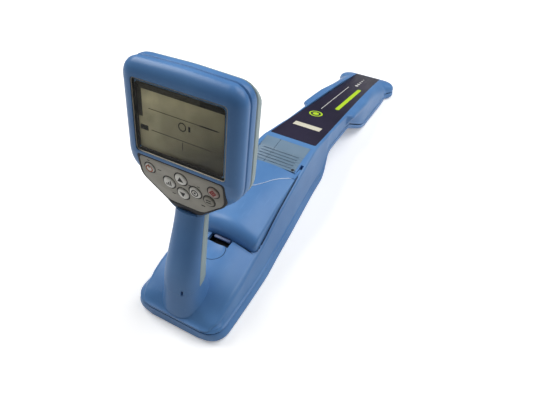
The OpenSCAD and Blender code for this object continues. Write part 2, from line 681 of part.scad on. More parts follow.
module front_shell() color(blue) difference() {
    union() {
        difference() {
            union() {
                upper_form();
                intersection() {
                    grip_form(foot_low_share, foot_high_share);
                    below_seam();
                    above_joint();
                }
            }
            upper_hollow();
        }
        each_screw() translate([0, 0, seat_z($share)])
            cylinder(r = post_r, h = post_top_z($share, $off) - seat_z($share), $fn = fine);
        on_grille() translate([-grille_seat_x, -grille_seat_w, -grille_t - grille_seat_t])
            cube([2 * grille_seat_x, grille_length + 2 * grille_seat_w, grille_seat_t]);
        both_sides(arm_in_x - free_gap - cheek_w / 2)
            translate([0, hinge_y - cheek_r, hinge_z - cheek_r]) cheek_block();
    }
    door_recess();
    translate([-bay_w / 2, bay_near_y, joint_z(tray_share)]) cube([bay_w, bay_far_y - bay_near_y, ridge_h]);
    translate([-latch_pocket_w / 2, latch_pocket_y, latch_pocket_z])
        cube([latch_pocket_w, latch_pocket_end_y - latch_pocket_y, ridge_h]);
    translate([0, along(dish_share), top_z(dish_share)]) rotate([dish_tilt, 0, 0])
        translate([0, 0, dish_ball_r - dish_d]) sphere(r = dish_ball_r, $fn = fine);
    both_sides(arm_mid_x) translate([-slot_w / 2, slot_y, slot_z])
        cube([slot_w, hinge_y + cheek_r - slot_y, ridge_h]);
    translate([-arm_mid_x, along(door_far_share) - overrun, grille_near_z - grille_t])
        cube([2 * arm_mid_x, door_relief + overrun, ridge_h]);
    cross_bar(hinge_y, hinge_z, hinge_pin_r + running_gap, 2 * (arm_out_x + free_gap + pin_grip));
    on_grille() {
        translate([-grille_w / 2 - slip, -slip, -grille_t])
            cube([grille_w + 2 * slip, grille_length + 2 * slip, ridge_h]);
        translate([0, grille_length / 2, 0])
            cylinder(d = speaker_d + 2 * free_gap, h = 2 * ridge_h, center = true, $fn = fine);
    }
    on_panel() translate([0, 0, -panel_sunk]) linear_extrude(ridge_h) panel_plan(slip);
    each_screw() translate([0, 0, seat_z($share) - overrun])
        cylinder(r = screw_r + slip, h = screw_bite + overrun + slip, $fn = fine);
}

module cheek_block() translate([-cheek_w / 2, 0, 0])
    cube([cheek_w, 2 * cheek_r, cheek_r + grille_near_z - grille_t - hinge_z]);

module blade_panel() color(deep_blue) on_panel() translate([0, 0, -panel_sunk])
    linear_extrude(panel_t) panel_plan(0);

door_hollow_shares = [
    for (u = door_station_shares) if (u > door_hollow_near_share && u < door_hollow_far_share) u
];
latch_bore_length = latch_w + 2 * (free_gap + latch_lug_w);
module battery_door() color(blue) difference() {
    union() {
        difference() {
            door_form(door_station_shares);
            door_form(door_hollow_shares, door_wall, overrun);
            translate([-latch_w / 2 - free_gap, along(door_near_share) - overrun, latch_pocket_z - overrun])
                cube([
                    latch_w + 2 * free_gap, latch_y + latch_r + free_gap - along(door_near_share) + overrun,
                    latch_z + latch_r - latch_pocket_z + 2 * overrun
                ]);
        }
        intersection() {
            door_form(door_station_shares, 0, latch_lug_h);
            both_sides(latch_w / 2 + free_gap + latch_lug_w / 2)
                translate([-latch_lug_w / 2, latch_lug_y, latch_pocket_z + 2 * free_gap])
                    cube([latch_lug_w, latch_y + latch_r + overrun - latch_lug_y, latch_lug_h]);
        }
        both_sides(arm_mid_x) hinge_arm();
    }
    cross_bar(hinge_y, hinge_z, hinge_pin_r + running_gap, 2 * arm_out_x + overrun);
    cross_bar(latch_y, latch_z, latch_pin_r + running_gap, latch_bore_length + overrun);
}
module hinge_arm() {
    side_prism([
        [arm_root_y, hinge_z - arm_r], [hinge_y, hinge_z - arm_r], [hinge_y, hinge_z + arm_r],
        [arm_root_y, hinge_z + arm_r]
    ], arm_w);
    cross_bar(hinge_y, hinge_z, arm_r, arm_w);
}

module door_hinge_pins() color(steel) both_sides(arm_mid_x)
    cross_bar(hinge_y, hinge_z, hinge_pin_r, arm_w + 2 * free_gap + 2 * pin_grip - 2 * running_gap);

module door_latch() color(grip_grey) difference() {
    union() {
        cross_bar(latch_y, latch_z, latch_r, latch_w);
        side_prism([
            [latch_y, latch_z + latch_r - latch_tab_t], [latch_y - latch_tab, latch_z - latch_tab_t / 2],
            [latch_y - latch_tab, latch_z + latch_tab_t / 2], [latch_y, latch_z + latch_r]
        ], latch_w);
        side_prism([
            [latch_y - latch_r / 2, latch_z], [latch_y - latch_r / 2, latch_z - latch_foot],
            [latch_y + latch_r, latch_z - latch_foot], [latch_y + latch_r / 2, latch_z]
        ], latch_w);
    }
    cross_bar(latch_y, latch_z, latch_pin_r + running_gap, latch_w + overrun);
}
module latch_pin() color(steel)
    cross_bar(latch_y, latch_z, latch_pin_r, latch_bore_length - 2 * running_gap);

// Parts inside the casing
module speaker_grille() color(grip_grey) on_grille() difference() {
    side_prism(grille_profile(), grille_w);
    for (k = [0 : rib_count - 1])
        translate([0, rib_start + (k + rib_slot_share) * rib_pitch + rib_slot / 2, 0])
            cube([grille_w - 2 * rib_side, rib_slot, 2 * (grille_t + overrun)], center = true);
    at_grille_screws() translate([0, 0, -grille_t - overrun]) {
        cylinder(r = grille_screw_r + slip, h = grille_t + 2 * overrun, $fn = fine);
        translate([0, 0, overrun + grille_t - grille_screw_sink])
            cylinder(r = grille_screw_head_r + slip, h = 2 * overrun, $fn = fine);
    }
}
rib_count = 5;
rib_side = 6.4;
rib_start = 4;
rib_pitch = 5.8;
rib_slot = 1.5;
rib_slot_share = 0.1;
rib_foot_share = 0.35;
rib_peak_share = 0.9;
rib_h = 1.1;
grille_screw_r = 1.2;
grille_screw_head_r = 2.3;
grille_screw_sink = 1.6;
function grille_profile() = concat(
    [[0, -grille_t], [grille_length, -grille_t], [grille_length, 0], [rib_start + rib_count * rib_pitch, 0]],
    [
        for (k = [rib_count - 1 : -1 : 0])
            each [
                [rib_start + (k + rib_peak_share) * rib_pitch, 0],
                [rib_start + (k + rib_foot_share) * rib_pitch, -rib_h]
            ]
    ],
    [[rib_start, 0], [0, 0]]
);
module at_grille_screws() both_sides(grille_w / 2 - rib_side / 2) translate([0, rib_side / 2, 0]) children();
module grille_screws() color(steel) on_grille() at_grille_screws() {
    translate([0, 0, -grille_screw_sink + slip])
        cylinder(r = grille_screw_head_r, h = grille_screw_sink - slip, $fn = fine);
    translate([0, 0, -grille_t]) cylinder(r = grille_screw_r, h = grille_t - slip, $fn = fine);
}
module speaker() color(black) on_grille() translate([0, grille_length / 2, -grille_t - speaker_rim_t]) {
    cylinder(d = speaker_d, h = speaker_rim_t, $fn = fine);
    translate([0, 0, -speaker_cone_h])
        cylinder(d1 = speaker_d * 0.5, d2 = speaker_d * 0.94, h = speaker_cone_h + slip, $fn = fine);
    translate([0, 0, -speaker_cone_h - speaker_magnet_h])
        cylinder(d = speaker_d * 0.6, h = speaker_magnet_h + slip, $fn = fine);
}
speaker_rim_t = 2.4;
speaker_cone_h = 9;
speaker_magnet_h = 9;

module main_board() color(board_green) translate([0, along(board_share), board_z]) {
    translate([-board_w / 2, -board_length / 2, 0]) cube([board_w, board_length, board_t]);
    for (p = chip_shares) translate([board_w * p[0], board_length * p[1], board_t - slip])
        translate([-board_w * p[2] / 2, -board_length * p[3] / 2, 0])
            cube([board_w * p[2], board_length * p[3], chip_h * p[4]]);
}
chip_shares = [
    [-0.15, 0.12, 0.28, 0.32, 0.6], [0.25, 0.2, 0.2, 0.2, 0.8], [0.2, -0.25, 0.36, 0.16, 1],
    [-0.28, -0.28, 0.16, 0.2, 1.6]
];
chip_h = 3;

module antenna_spine() color(black) {
    a = along(spine_near_share);
    b = along(spine_far_share);
    t = spine_t * spine_lean;
    side_prism([[a, spine_near_z], [b, spine_far_z], [b, spine_far_z - t], [a, spine_near_z - t]], spine_w);
}
module antenna_core(share, z, length) cross_bar(along(share), z, core_r, length);
module antenna_coil(share, z, length) difference() {
    cross_bar(along(share), z, coil_r, length * coil_share);
    cross_bar(along(share), z, core_r + running_gap, length);
}
module upper_antenna_core() color(black)
    antenna_core(upper_antenna_share, upper_antenna_z, upper_core_length);
module upper_antenna_coil() color(copper)
    antenna_coil(upper_antenna_share, upper_antenna_z, upper_core_length);
module lower_antenna_core() color(black)
    antenna_core(lower_antenna_share, lower_antenna_z, lower_core_length);
module lower_antenna_coil() color(copper)
    antenna_coil(lower_antenna_share, lower_antenna_z, lower_core_length);

// Batteries
module at_cells() for (side = [-1, 1])
    translate([0, along(tray_share) + side * cell_pitch / 2, cell_z]) children();
module battery_tray() color(black) difference() {
    translate([-tray_in_x - tray_wall, along(tray_share) - tray_length / 2, tray_floor_z])
        cube([2 * (tray_in_x + tray_wall), tray_length, tray_h]);
    at_cells() rotate([0, 90, 0])
        cylinder(d = cell_d + 2 * cell_gap, h = 2 * tray_in_x, center = true, $fn = fine);
    translate([-tray_in_x, along(tray_share) - cell_pitch / 2, cell_z])
        cube([2 * tray_in_x, cell_pitch, tray_h]);
    at_cells() translate([-tray_in_x, -cell_d / 2 - cell_gap, 0])
        cube([2 * tray_in_x, cell_d + 2 * cell_gap, tray_h]);
}
nub_r = 5;
nub_h = 1.5;
module battery_cell(side) color(steel)
    translate([0, along(tray_share) + side * cell_pitch / 2, cell_z - cell_gap]) rotate([0, 90 * side, 0]) {
        translate([0, 0, -cell_length / 2]) cylinder(d = cell_d, h = cell_length - nub_h, $fn = fine);
        translate([0, 0, cell_length / 2 - nub_h - slip]) cylinder(r = nub_r, h = nub_h + slip, $fn = fine);
    }
module battery_cell_near() battery_cell(-1);
module battery_cell_far() battery_cell(1);
module battery_contacts() color(steel) at_cells() for (side = [-1, 1]) rotate([0, 90 * side, 0]) {
    translate([0, 0, tray_in_x - contact_t]) cylinder(r = contact_r, h = contact_t - running_gap, $fn = fine);
    translate([0, 0, cell_length / 2 + slip])
        cylinder(
            r1 = contact_r * 0.4, r2 = contact_r * 0.85,
            h = contact_space - slip - contact_t + running_gap, $fn = fine
        );
}
contact_r = 8;
contact_t = 0.8;

// Head frame: across, up the window, and out of the window; the keypad frame tilts back below it
head_share = 0.0755;
module on_head() translate([0, along(head_share), window_z]) rotate([90 - head_tilt, 0, 0]) children();
head_half = head_w / 2;
head_bottom_v = -window_h * 1.33;
head_waist_v = -window_h * 0.745;
head_top_v = window_h * 0.715;
head_crown = window_h * 0.025;
bridge_w = 2.6;
keypad_v = -window_h / 2 - bridge_w;
// The side has a slight corner where the keypad tilt starts
right_corners = [
    [head_half * 0.25, head_bottom_v], [head_half * 0.988, head_waist_v], [head_half * 0.996, keypad_v],
    [head_half, head_top_v]
];
left_corners = [for (k = [3 : -1 : 0]) [-right_corners[k][0], right_corners[k][1]]];
head_corners = concat(right_corners, [[0, head_top_v + head_crown]], left_corners);
head_radius_shares = [0.192, 0.352, 0.64, 0.272, 4.8, 0.272, 0.64, 0.352, 0.192];
head_radii = head_half * head_radius_shares;
function head_ring(inset, n, bend, fall = 0) = [
    for (p = outline(head_corners, head_radii, inset))
        [p[0], p[1] - fall * max(0, p[1]) / head_top_v, n + bend * min(0, p[1] - keypad_v) * tan(keypad_tilt)]
];
function turned(ring) = [for (k = [len(ring) - 1 : -1 : 0]) ring[k]];
module head_skin(steps) {
    rings = [for (s = steps) turned(head_ring(s[1], s[0], s[2], is_undef(s[3]) ? 0 : s[3]))];
    skin(rings, ends = [[0, keypad_v, steps[0][0]], [0, keypad_v, steps[len(steps) - 1][0]]]);
}
bezel_back_n = -head_depth * 0.326;
head_seal_t = 1.4;
band_h = head_depth * 0.214;
band_front_n = bezel_back_n - head_seal_t;
band_back_n = band_front_n - band_h;
rear_front_n = band_back_n - head_seal_t;
head_wall = 5;
bezel_wall = 4.4;
rear_wall = 3;
seal_inset = 2.2;
// Share of the depth, inset as a share of the half width, and share of the keypad tilt of each ring
bezel_shares = [
    [1, 0.0192, 0], [0.95, 0.0048, 0], [0.8, 0, 0.05], [0.62, 0, 0.2], [0.46, 0.0128, 0.45],
    [0.3, 0.0384, 0.68], [0.16, 0.0768, 0.86], [0.06, 0.128, 0.96], [0.015, 0.176, 1], [0, 0.224, 1]
];
band_shares = [
    [1, 0.0224, 0], [0.9, 0.0048, 0], [0.7, 0, 0], [0.3, 0, 0], [0.1, 0.0048, 0], [0, 0.0224, 0]
];
// The rear shell also falls away at the top, by a last share of the half width
rear_shares = [
    [1, 0.24, 0, 0.176], [0.96, 0.16, 0, 0.1696], [0.86, 0.096, 0, 0.1536], [0.68, 0.048, 0, 0.1216],
    [0.42, 0.0192, 0, 0.0768], [0.15, 0.0064, 0, 0.0288], [0.05, 0.0096, 0, 0.0096], [0, 0.0256, 0, 0]
];

// Keypad frame and outlines
keypad_t = 3;
keypad_lip = 1.4;
keypad_h = keypad_v - head_bottom_v;
function on_keypad_share(p) = [head_half * p[0], keypad_h * p[1]];
// Corners across as shares of the half width, and down as shares of the keypad's height
keypad_shares = [
    [0.32, -0.8673], [0.7488, -0.4691], [0.7408, -0.0354],
    [-0.7408, -0.0354], [-0.7488, -0.4691], [-0.32, -0.8673]
];
keypad_radius_shares = [0.256, 0.224, 0.064, 0.064, 0.224, 0.256];
surround_shares = [
    [0.24, -0.9912], [0.7904, -0.4708], [0.7776, -0.0071],
    [-0.7776, -0.0071], [-0.7904, -0.4708], [-0.24, -0.9912]
];
surround_radius_shares = [0.224, 0.24, 0.048, 0.048, 0.24, 0.224];
keypad_flange = 3.6;
function keypad_outline(inset) =
    outline([for (p = keypad_shares) on_keypad_share(p)], head_half * keypad_radius_shares, inset);
function surround_outline(inset) =
    outline([for (p = surround_shares) on_keypad_share(p)], head_half * surround_radius_shares, inset);
module on_keypad() on_head() translate([0, keypad_v, 0]) rotate([keypad_tilt, 0, 0]) children();
module window_plan(shrink, r) {
    w = window_w / 2 - shrink;
    h = window_h / 2 - shrink;
    points = [[w, -h], [w, h], [-w, h], [-w, -h]];
    polygon(outline(points, [r, r, r, r], 0));
}

module head_bezel() color(blue) on_head() difference() {
    union() {
        difference() {
            head_skin([for (s = bezel_shares) [bezel_back_n * s[0], head_half * s[1], s[2]]]);
            head_skin([
                [bezel_back_n - overrun, head_wall, bezel_hollow_share], [-bezel_wall, head_wall, 1]
            ]);
        }
        at_display_posts() translate([0, 0, -bezel_wall - lcd_t])
            cylinder(r = display_post_r, h = lcd_t + slip, $fn = fine);
    }
    translate([0, 0, -window_t - slip]) linear_extrude(head_depth) window_plan(-slip, window_r);
    translate([0, 0, -head_depth]) linear_extrude(2 * head_depth) window_plan(window_ledge, window_r);
    translate([0, 0, -head_depth]) linear_extrude(head_depth - bezel_wall)
        window_plan(-lcd_rim - slip, window_r / 2);
    translate([0, keypad_v, 0]) rotate([keypad_tilt, 0, 0]) translate([0, 0, -keypad_t - keypad_lip - slip])
        linear_extrude(head_depth) polygon(surround_outline(-slip));
}
bezel_hollow_share = 0.2;
window_r = 4;
window_ledge = 3;
lcd_t = 4.2;
display_post_r = 2.4;
display_board_rim = 6.5;
display_board_w = window_w + 2 * display_board_rim;
display_board_h = window_h;
display_post_x = display_board_w / 2 - display_post_r;
display_post_y = display_board_h / 2 - display_post_r;
module at_display_posts() for (i = [-1, 1], j = [-1, 1])
    translate([i * display_post_x, j * display_post_y, 0]) children();
module head_seal(n) on_head() translate([0, 0, n]) linear_extrude(head_seal_t) difference() {
    polygon(outline(head_corners, head_radii, seal_inset));
    polygon(outline(head_corners, head_radii, head_wall));
}
module head_seal_front() color(black) head_seal(band_front_n);
module head_seal_rear() color(black) head_seal(rear_front_n);
module head_band() color(blue) on_head() difference() {
    head_skin([for (s = band_shares) [band_front_n - band_h * s[0], head_half * s[1], s[2]]]);
    translate([0, 0, band_back_n - overrun]) linear_extrude(band_h + 2 * overrun)
        polygon(outline(head_corners, head_radii, head_wall));
}
rear_h = head_depth + rear_front_n;
rear_hollow_shares = [
    [1 - rear_wall / rear_h, 0.16, 0, 0.16], [0.55, 0.032, 0, 0.0992], [0, 0, 0, 0],
    [-overrun / rear_h, 0, 0, 0]
];
head_screw_sink = rear_h * 0.35;
head_screw_seat_n = -head_depth + head_screw_sink;
module rear_form() head_skin([
    for (s = rear_shares) [rear_front_n - rear_h * s[0], head_half * s[1], s[2], head_half * s[3]]
]);
module head_rear() color(grip_grey) on_head() difference() {
    union() {
        difference() {
            rear_form();
            head_skin([
                for (s = rear_hollow_shares)
                    [rear_front_n - rear_h * s[0], head_wall + head_half * s[1], s[2], head_half * s[3]]
            ]);
        }
        intersection() {
            rear_form();
            at_head_screws() translate([0, 0, -head_depth])
                cylinder(r = screw_head_r + rear_wall, h = rear_h, $fn = fine);
        }
    }
    at_head_screws() {
        translate([0, 0, -head_depth - overrun])
            cylinder(r = screw_head_r + slip, h = overrun + head_screw_sink, $fn = fine);
        translate([0, 0, head_screw_seat_n - slip]) cylinder(r = screw_r + slip, h = rear_h, $fn = fine);
    }
}
head_screw_shares = [0.48, -0.66];
module at_head_screws() for (i = [-1, 1], share = head_screw_shares)
    translate([i * head_half * 0.78, window_h * share, 0]) children();
module head_screws() color(steel) on_head() at_head_screws() translate([0, 0, head_screw_seat_n]) {
    translate([0, 0, -screw_head_h]) cylinder(r = screw_head_r, h = screw_head_h, $fn = fine);
    translate([0, 0, -slip]) cylinder(r = screw_r, h = rear_h - head_screw_sink, $fn = fine);
}

module display_window() color([0.5, 0.52, 0.46]) on_head() translate([0, 0, -window_t])
    linear_extrude(window_t - slip) window_plan(0, window_r);
module lcd_panel() color([0.45, 0.46, 0.38]) on_head() translate([0, 0, -bezel_wall - lcd_t])
    linear_extrude(lcd_t) window_plan(-lcd_rim, window_r / 2);
lcd_rim = 0.6;
module display_board() color(board_green) on_head()
    translate([-display_board_w / 2, -display_board_h / 2, -bezel_wall - lcd_t - board_t])
        cube([display_board_w, display_board_h, board_t]);

// The lower lip of the surround stops at the back of the bezel
module keypad_surround() color(black) difference() {
    on_keypad() difference() {
        translate([0, 0, -keypad_t - keypad_lip]) linear_extrude(keypad_t + keypad_lip)
            polygon(surround_outline(0));
        translate([0, 0, -keypad_t]) linear_extrude(head_depth) polygon(keypad_outline(-slip));
        translate([0, 0, -head_depth]) linear_extrude(2 * head_depth) polygon(keypad_outline(keypad_flange));
    }
    on_head() translate([-reach, -reach, bezel_back_n + slip - 2 * reach]) cube(2 * reach);
}
module keypad_panel() color(panel_grey) on_keypad() {
    difference() {
        translate([0, 0, -keypad_t]) linear_extrude(keypad_t) polygon(keypad_outline(0));
        for (key = keys) translate([key[0], key[1], -keypad_t - overrun])
            cylinder(d = key[2] + 2 * key_gap, h = keypad_t + 2 * overrun, $fn = fine);
    }
    for (p = keypad_foot_shares, side = [-1, 1])
        translate([side * head_half * p[0], keypad_h * p[1], -keypad_t - keypad_lip])
            cylinder(r = keypad_foot_r, h = keypad_lip + slip, $fn = fine);
}
keypad_foot_shares = [[0.352, -0.1416], [0.224, -0.6726]];
keypad_foot_r = 1.8;
key_board_inset = 6;
module key_board() color(board_green) on_keypad() translate([0, 0, -keypad_t - keypad_lip - board_t])
    linear_extrude(board_t) polygon(keypad_outline(key_board_inset));
key_gap = 0.3;
key_edge = 0.9;
// Place of each key across and down the keypad, as such shares, and its diameter
function key_place(across_share, down_share, d) = concat(on_keypad_share([across_share, down_share]), [d]);
power_place = key_place(-0.576, -0.2478, power_key_d);
upper_place = key_place(0, -0.2407, key_d);
left_place = key_place(-0.24, -0.4213, key_d);
right_place = key_place(0.24, -0.4213, key_d);
lower_place = key_place(0, -0.5664, key_d);
red_place = key_place(0.576, -0.2549, side_key_d);
side_place = key_place(0.48, -0.4956, side_key_d);
keys = [power_place, upper_place, left_place, right_place, lower_place, red_place, side_place];
module key(place) on_keypad()
    translate([place[0], place[1], -keypad_t - keypad_lip + key_travel + free_gap]) rotate_extrude($fn = fine)
        polygon([
            [0, 0], [place[2] / 2, 0], [place[2] / 2, key_top - key_edge],
            [place[2] / 2 - key_edge * 0.3, key_top - key_edge * 0.3], [place[2] / 2 - key_edge, key_top],
            [0, key_top]
        ]);
key_top = keypad_t + keypad_lip - key_travel - free_gap + key_rise;
module power_key() color(key_white) key(power_place);
module upper_key() color(key_white) key(upper_place);
module left_key() color(key_white) key(left_place);
module right_key() color(key_white) key(right_place);
module lower_key() color(key_white) key(lower_place);
module red_key() color([0.5, 0.2, 0.14]) key(red_place);
module side_key() color([0.45, 0.45, 0.44]) key(side_place);

// Handle in two mouldings that meet along its side
split_gap = 0.2;
split_shift = -4;
function split_line(shift) = [
    for (p = grip_place_shares)
        if (p[0] >= handle_low_share) [grip_y(p[0]) + split_shift + shift, grip_top_z * p[0]]
];
module handle_half(side) difference() {
    intersection() {
        difference() {
            grip_form(handle_low_share, 1);
            grip_form(handle_low_share, 1, handle_wall);
        }
        above_seam();
        side_prism(concat(
            split_line(side * split_gap / 2),
            [[grip_y(1) + side * reach, grip_top_z + reach], [grip_y(1) + side * reach, 0]]
        ), reach);
    }
    on_head() translate([-reach, head_bottom_v - slip, -reach]) cube(2 * reach);
}
strap_z = window_z * 0.236;
strap_x = grip_w * 0.21;
strap_w = 2.4;
strap_h = 9.5;
strap_share = 0.38;
module handle_front() color(blue) difference() {
    handle_half(-1);
    translate([strap_x - strap_w / 2, grip_y(strap_share) - reach, strap_z - strap_h / 2])
        cube([strap_w, reach, strap_h]);
}
module handle_grip() color(grip_grey) handle_half(1);

// Blank plate on the blade panel
rating_w = 44;
rating_length = 13;
rating_t = 0.4;
rating_place = panel_length * 0.13;
module rating_plate() color([0.9, 0.88, 0.8]) on_panel()
    translate([-rating_w / 2, rating_place, panel_t - panel_sunk]) cube([rating_w, rating_length, rating_t]);

rear_shell();
front_shell();
casing_seal();
casing_screws();
blade_panel();
rating_plate();
speaker_grille();
grille_screws();
speaker();
main_board();
antenna_spine();
upper_antenna_core();
upper_antenna_coil();
lower_antenna_core();
lower_antenna_coil();
battery_tray();
battery_cell_near();
battery_cell_far();
battery_contacts();
battery_door();
door_hinge_pins();
door_latch();
latch_pin();
handle_front();
handle_grip();
head_bezel();
head_seal_front();
head_band();
head_seal_rear();
head_rear();
head_screws();
display_window();
lcd_panel();
display_board();
keypad_surround();
keypad_panel();
key_board();
power_key();
upper_key();
left_key();
right_key();
lower_key();
red_key();
side_key();
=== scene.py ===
import json
from math import cos, pi, radians, sin

import bpy
from mathutils import Matrix, Vector

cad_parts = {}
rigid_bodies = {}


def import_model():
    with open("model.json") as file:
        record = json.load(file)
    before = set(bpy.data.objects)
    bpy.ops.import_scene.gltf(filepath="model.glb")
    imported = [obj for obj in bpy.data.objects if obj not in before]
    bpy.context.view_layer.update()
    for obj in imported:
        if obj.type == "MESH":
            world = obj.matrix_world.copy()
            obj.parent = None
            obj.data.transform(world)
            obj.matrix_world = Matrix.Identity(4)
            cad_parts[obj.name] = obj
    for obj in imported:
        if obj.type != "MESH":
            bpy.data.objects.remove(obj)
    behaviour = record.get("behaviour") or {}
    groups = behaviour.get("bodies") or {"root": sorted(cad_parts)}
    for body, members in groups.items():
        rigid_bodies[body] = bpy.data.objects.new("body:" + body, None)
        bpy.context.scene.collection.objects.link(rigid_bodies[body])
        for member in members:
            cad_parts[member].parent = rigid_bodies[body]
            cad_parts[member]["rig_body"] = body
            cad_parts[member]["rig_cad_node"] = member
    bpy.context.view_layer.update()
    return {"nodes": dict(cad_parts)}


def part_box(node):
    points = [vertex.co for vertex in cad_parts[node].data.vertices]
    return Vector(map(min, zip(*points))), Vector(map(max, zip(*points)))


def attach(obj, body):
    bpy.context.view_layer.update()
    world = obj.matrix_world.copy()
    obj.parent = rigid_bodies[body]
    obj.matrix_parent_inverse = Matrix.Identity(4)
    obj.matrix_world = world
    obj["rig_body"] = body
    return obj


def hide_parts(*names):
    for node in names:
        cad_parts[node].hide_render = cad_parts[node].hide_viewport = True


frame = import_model()
nodes = frame["nodes"]
bpy.context.scene.view_settings.view_transform = "Standard"


# Casing halves: two thin-walled mouldings of satin blue ABS, parted along the widest line of the body.
# The rear half lies on the ground; the front half carries the handle foot, door seat and blade.
# Their fine mould grain, colour drift and rubbed edges with a painted highlight are one effect shared by
# all the plastics.
MM = 0.001
scuff_dulling = 0.08


def tone(red, green, blue):
    """Linear colour of an sRGB colour given in steps of 255."""
    shares = [step / 255 for step in (red, green, blue)]
    return [s / 12.92 if s <= 0.04045 else ((s + 0.055) / 1.055) ** 2.4 for s in shares] + [1.0]


def add_node(tree, kind, values=None, **settings):
    """New node with its settings and the values of its sockets."""
    node = tree.nodes.new(kind)
    for name, value in settings.items():
        setattr(node, name, value)
    for name, value in (values or {}).items():
        node.inputs[name].default_value = value
    return node


def mix_colour(tree, factor, first, second):
    """Mix two colours. A mixing node takes the factor at 0 and colours at 6 and 7, and gives them at 2."""
    mixer = add_node(tree, "ShaderNodeMix", data_type="RGBA")
    for place, source in ((0, factor), (6, first), (7, second)):
        if isinstance(source, bpy.types.NodeSocket):
            tree.links.new(source, mixer.inputs[place])
        else:
            mixer.inputs[place].default_value = source
    return mixer.outputs[2]


def spread(tree, source, low, high, to_low=0.0, to_high=1.0):
    """Map one range of a value to another."""
    ranger = add_node(
        tree, "ShaderNodeMapRange",
        {"From Min": low, "From Max": high, "To Min": to_low, "To Max": to_high},
    )
    tree.links.new(source, ranger.inputs["Value"])
    return ranger.outputs["Result"]


def moulded_skin_group():
    """Colour, roughness and normal of a moulding: colour drift, fine scuffs, grain and rubbed edges with a
    painted highlight.
    """
    group = bpy.data.node_groups.new("moulded_skin", "ShaderNodeTree")
    faces = group.interface
    for name, kind in (
        ("Light", "NodeSocketColor"), ("Shade", "NodeSocketColor"), ("Rubbed And Highlight", "NodeSocketColor"),
        ("Grain Scale", "NodeSocketFloat"), ("Grain Depth", "NodeSocketFloat"),
        ("Roughness", "NodeSocketFloat"), ("Edge Radius", "NodeSocketFloat"),
    ):
        faces.new_socket(name, in_out="INPUT", socket_type=kind)
    for name, kind in (
        ("Color", "NodeSocketColor"), ("Roughness", "NodeSocketFloat"), ("Normal", "NodeSocketVector"),
    ):
        faces.new_socket(name, in_out="OUTPUT", socket_type=kind)
    given = add_node(group, "NodeGroupInput")
    result = add_node(group, "NodeGroupOutput")
    link = group.links.new
    place = add_node(group, "ShaderNodeTexCoord").outputs["Object"]

    cloud = add_node(group, "ShaderNodeTexNoise", {"Scale": 16.0, "Detail": 3.0})
    link(place, cloud.inputs["Vector"])
    drift = spread(group, cloud.outputs["Fac"], 0.35, 0.65)

    streak = add_node(group, "ShaderNodeMapping", {"Scale": (1.0, 0.14, 0.6)})
    link(place, streak.inputs["Vector"])
    scratch = add_node(group, "ShaderNodeTexNoise", {"Scale": 240.0, "Detail": 5.0})
    link(streak.outputs["Vector"], scratch.inputs["Vector"])
    scuff = spread(group, scratch.outputs["Fac"], 0.62, 0.78, 0.0, 0.22)

    grain = add_node(group, "ShaderNodeTexNoise", {"Detail": 2.0})
    link(place, grain.inputs["Vector"])
    link(given.outputs["Grain Scale"], grain.inputs["Scale"])

    rounded = add_node(group, "ShaderNodeBevel", samples=4)
    link(given.outputs["Edge Radius"], rounded.inputs["Radius"])
    true_face = add_node(group, "ShaderNodeNewGeometry")
    turn = add_node(group, "ShaderNodeVectorMath", operation="DOT_PRODUCT")
    link(rounded.outputs["Normal"], turn.inputs[0])
    link(true_face.outputs["Normal"], turn.inputs[1])
    # Edge mask: lightens the rounded edges towards the rubbed colour, partly as wear and partly as a
    # painted highlight.
    edge = spread(group, turn.outputs["Value"], 0.99, 0.8, 0.0, 0.3)

    body = mix_colour(group, drift, given.outputs["Light"], given.outputs["Shade"])
    body = mix_colour(group, scuff, body, given.outputs["Rubbed And Highlight"])
    link(mix_colour(group, edge, body, given.outputs["Rubbed And Highlight"]), result.inputs["Color"])

    dull = add_node(group, "ShaderNodeMath", operation="MULTIPLY_ADD")
    link(scratch.outputs["Fac"], dull.inputs[0])
    dull.inputs[1].default_value = 2 * scuff_dulling
    link(given.outputs["Roughness"], dull.inputs[2])
    link(dull.outputs[0], result.inputs["Roughness"])

    bump = add_node(group, "ShaderNodeBump", {"Strength": 1.0})
    link(given.outputs["Grain Depth"], bump.inputs["Distance"])
    link(grain.outputs["Fac"], bump.inputs["Height"])
    link(rounded.outputs["Normal"], bump.inputs["Normal"])
    link(bump.outputs["Normal"], result.inputs["Normal"])
    return group


moulded_skin = moulded_skin_group()


def new_material(name):
    """New material with its node tree and its main shader."""
    material = bpy.data.materials.new(name)
    material.use_nodes = True
    return material, material.node_tree, material.node_tree.nodes["Principled BSDF"]


def moulded(name, light, shade, rubbed_and_highlight, roughness=0.34, grain_scale=1500.0, depth=0.02, edge=0.5):
    """Material of a moulding; depth of the grain and radius of the softened edges in millimetres."""
    material, tree, shader = new_material(name)
    shader.inputs["Specular IOR Level"].default_value = 0.34
    skin = add_node(tree, "ShaderNodeGroup", node_tree=moulded_skin)
    for socket, value in (
        ("Light", light), ("Shade", shade), ("Rubbed And Highlight", rubbed_and_highlight),
        ("Grain Scale", grain_scale), ("Grain Depth", depth * MM),
        ("Roughness", roughness - scuff_dulling), ("Edge Radius", edge * MM),
    ):
        skin.inputs[socket].default_value = value
    tree.links.new(skin.outputs["Color"], shader.inputs["Base Color"])
    tree.links.new(skin.outputs["Roughness"], shader.inputs["Roughness"])
    tree.links.new(skin.outputs["Normal"], shader.inputs["Normal"])
    return material


def only(piece):
    """Leave one object selected and active."""
    bpy.ops.object.select_all(action="DESELECT")
    piece.select_set(True)
    bpy.context.view_layer.objects.active = piece


def copy_node(node, name):
    """Copy of a frame node as one joined skin without its stored normals."""
    only(nodes[node])
    bpy.ops.object.duplicate()
    piece = bpy.context.object
    piece.name = name
    piece.data.name = name
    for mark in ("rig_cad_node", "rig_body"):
        del piece[mark]
    bpy.ops.mesh.customdata_custom_splitnormals_clear()
    bpy.ops.object.mode_set(mode="EDIT")
    bpy.ops.mesh.select_all(action="SELECT")
    bpy.ops.mesh.remove_doubles(threshold=0.002 * MM)
    bpy.ops.object.mode_set(mode="OBJECT")
    return piece


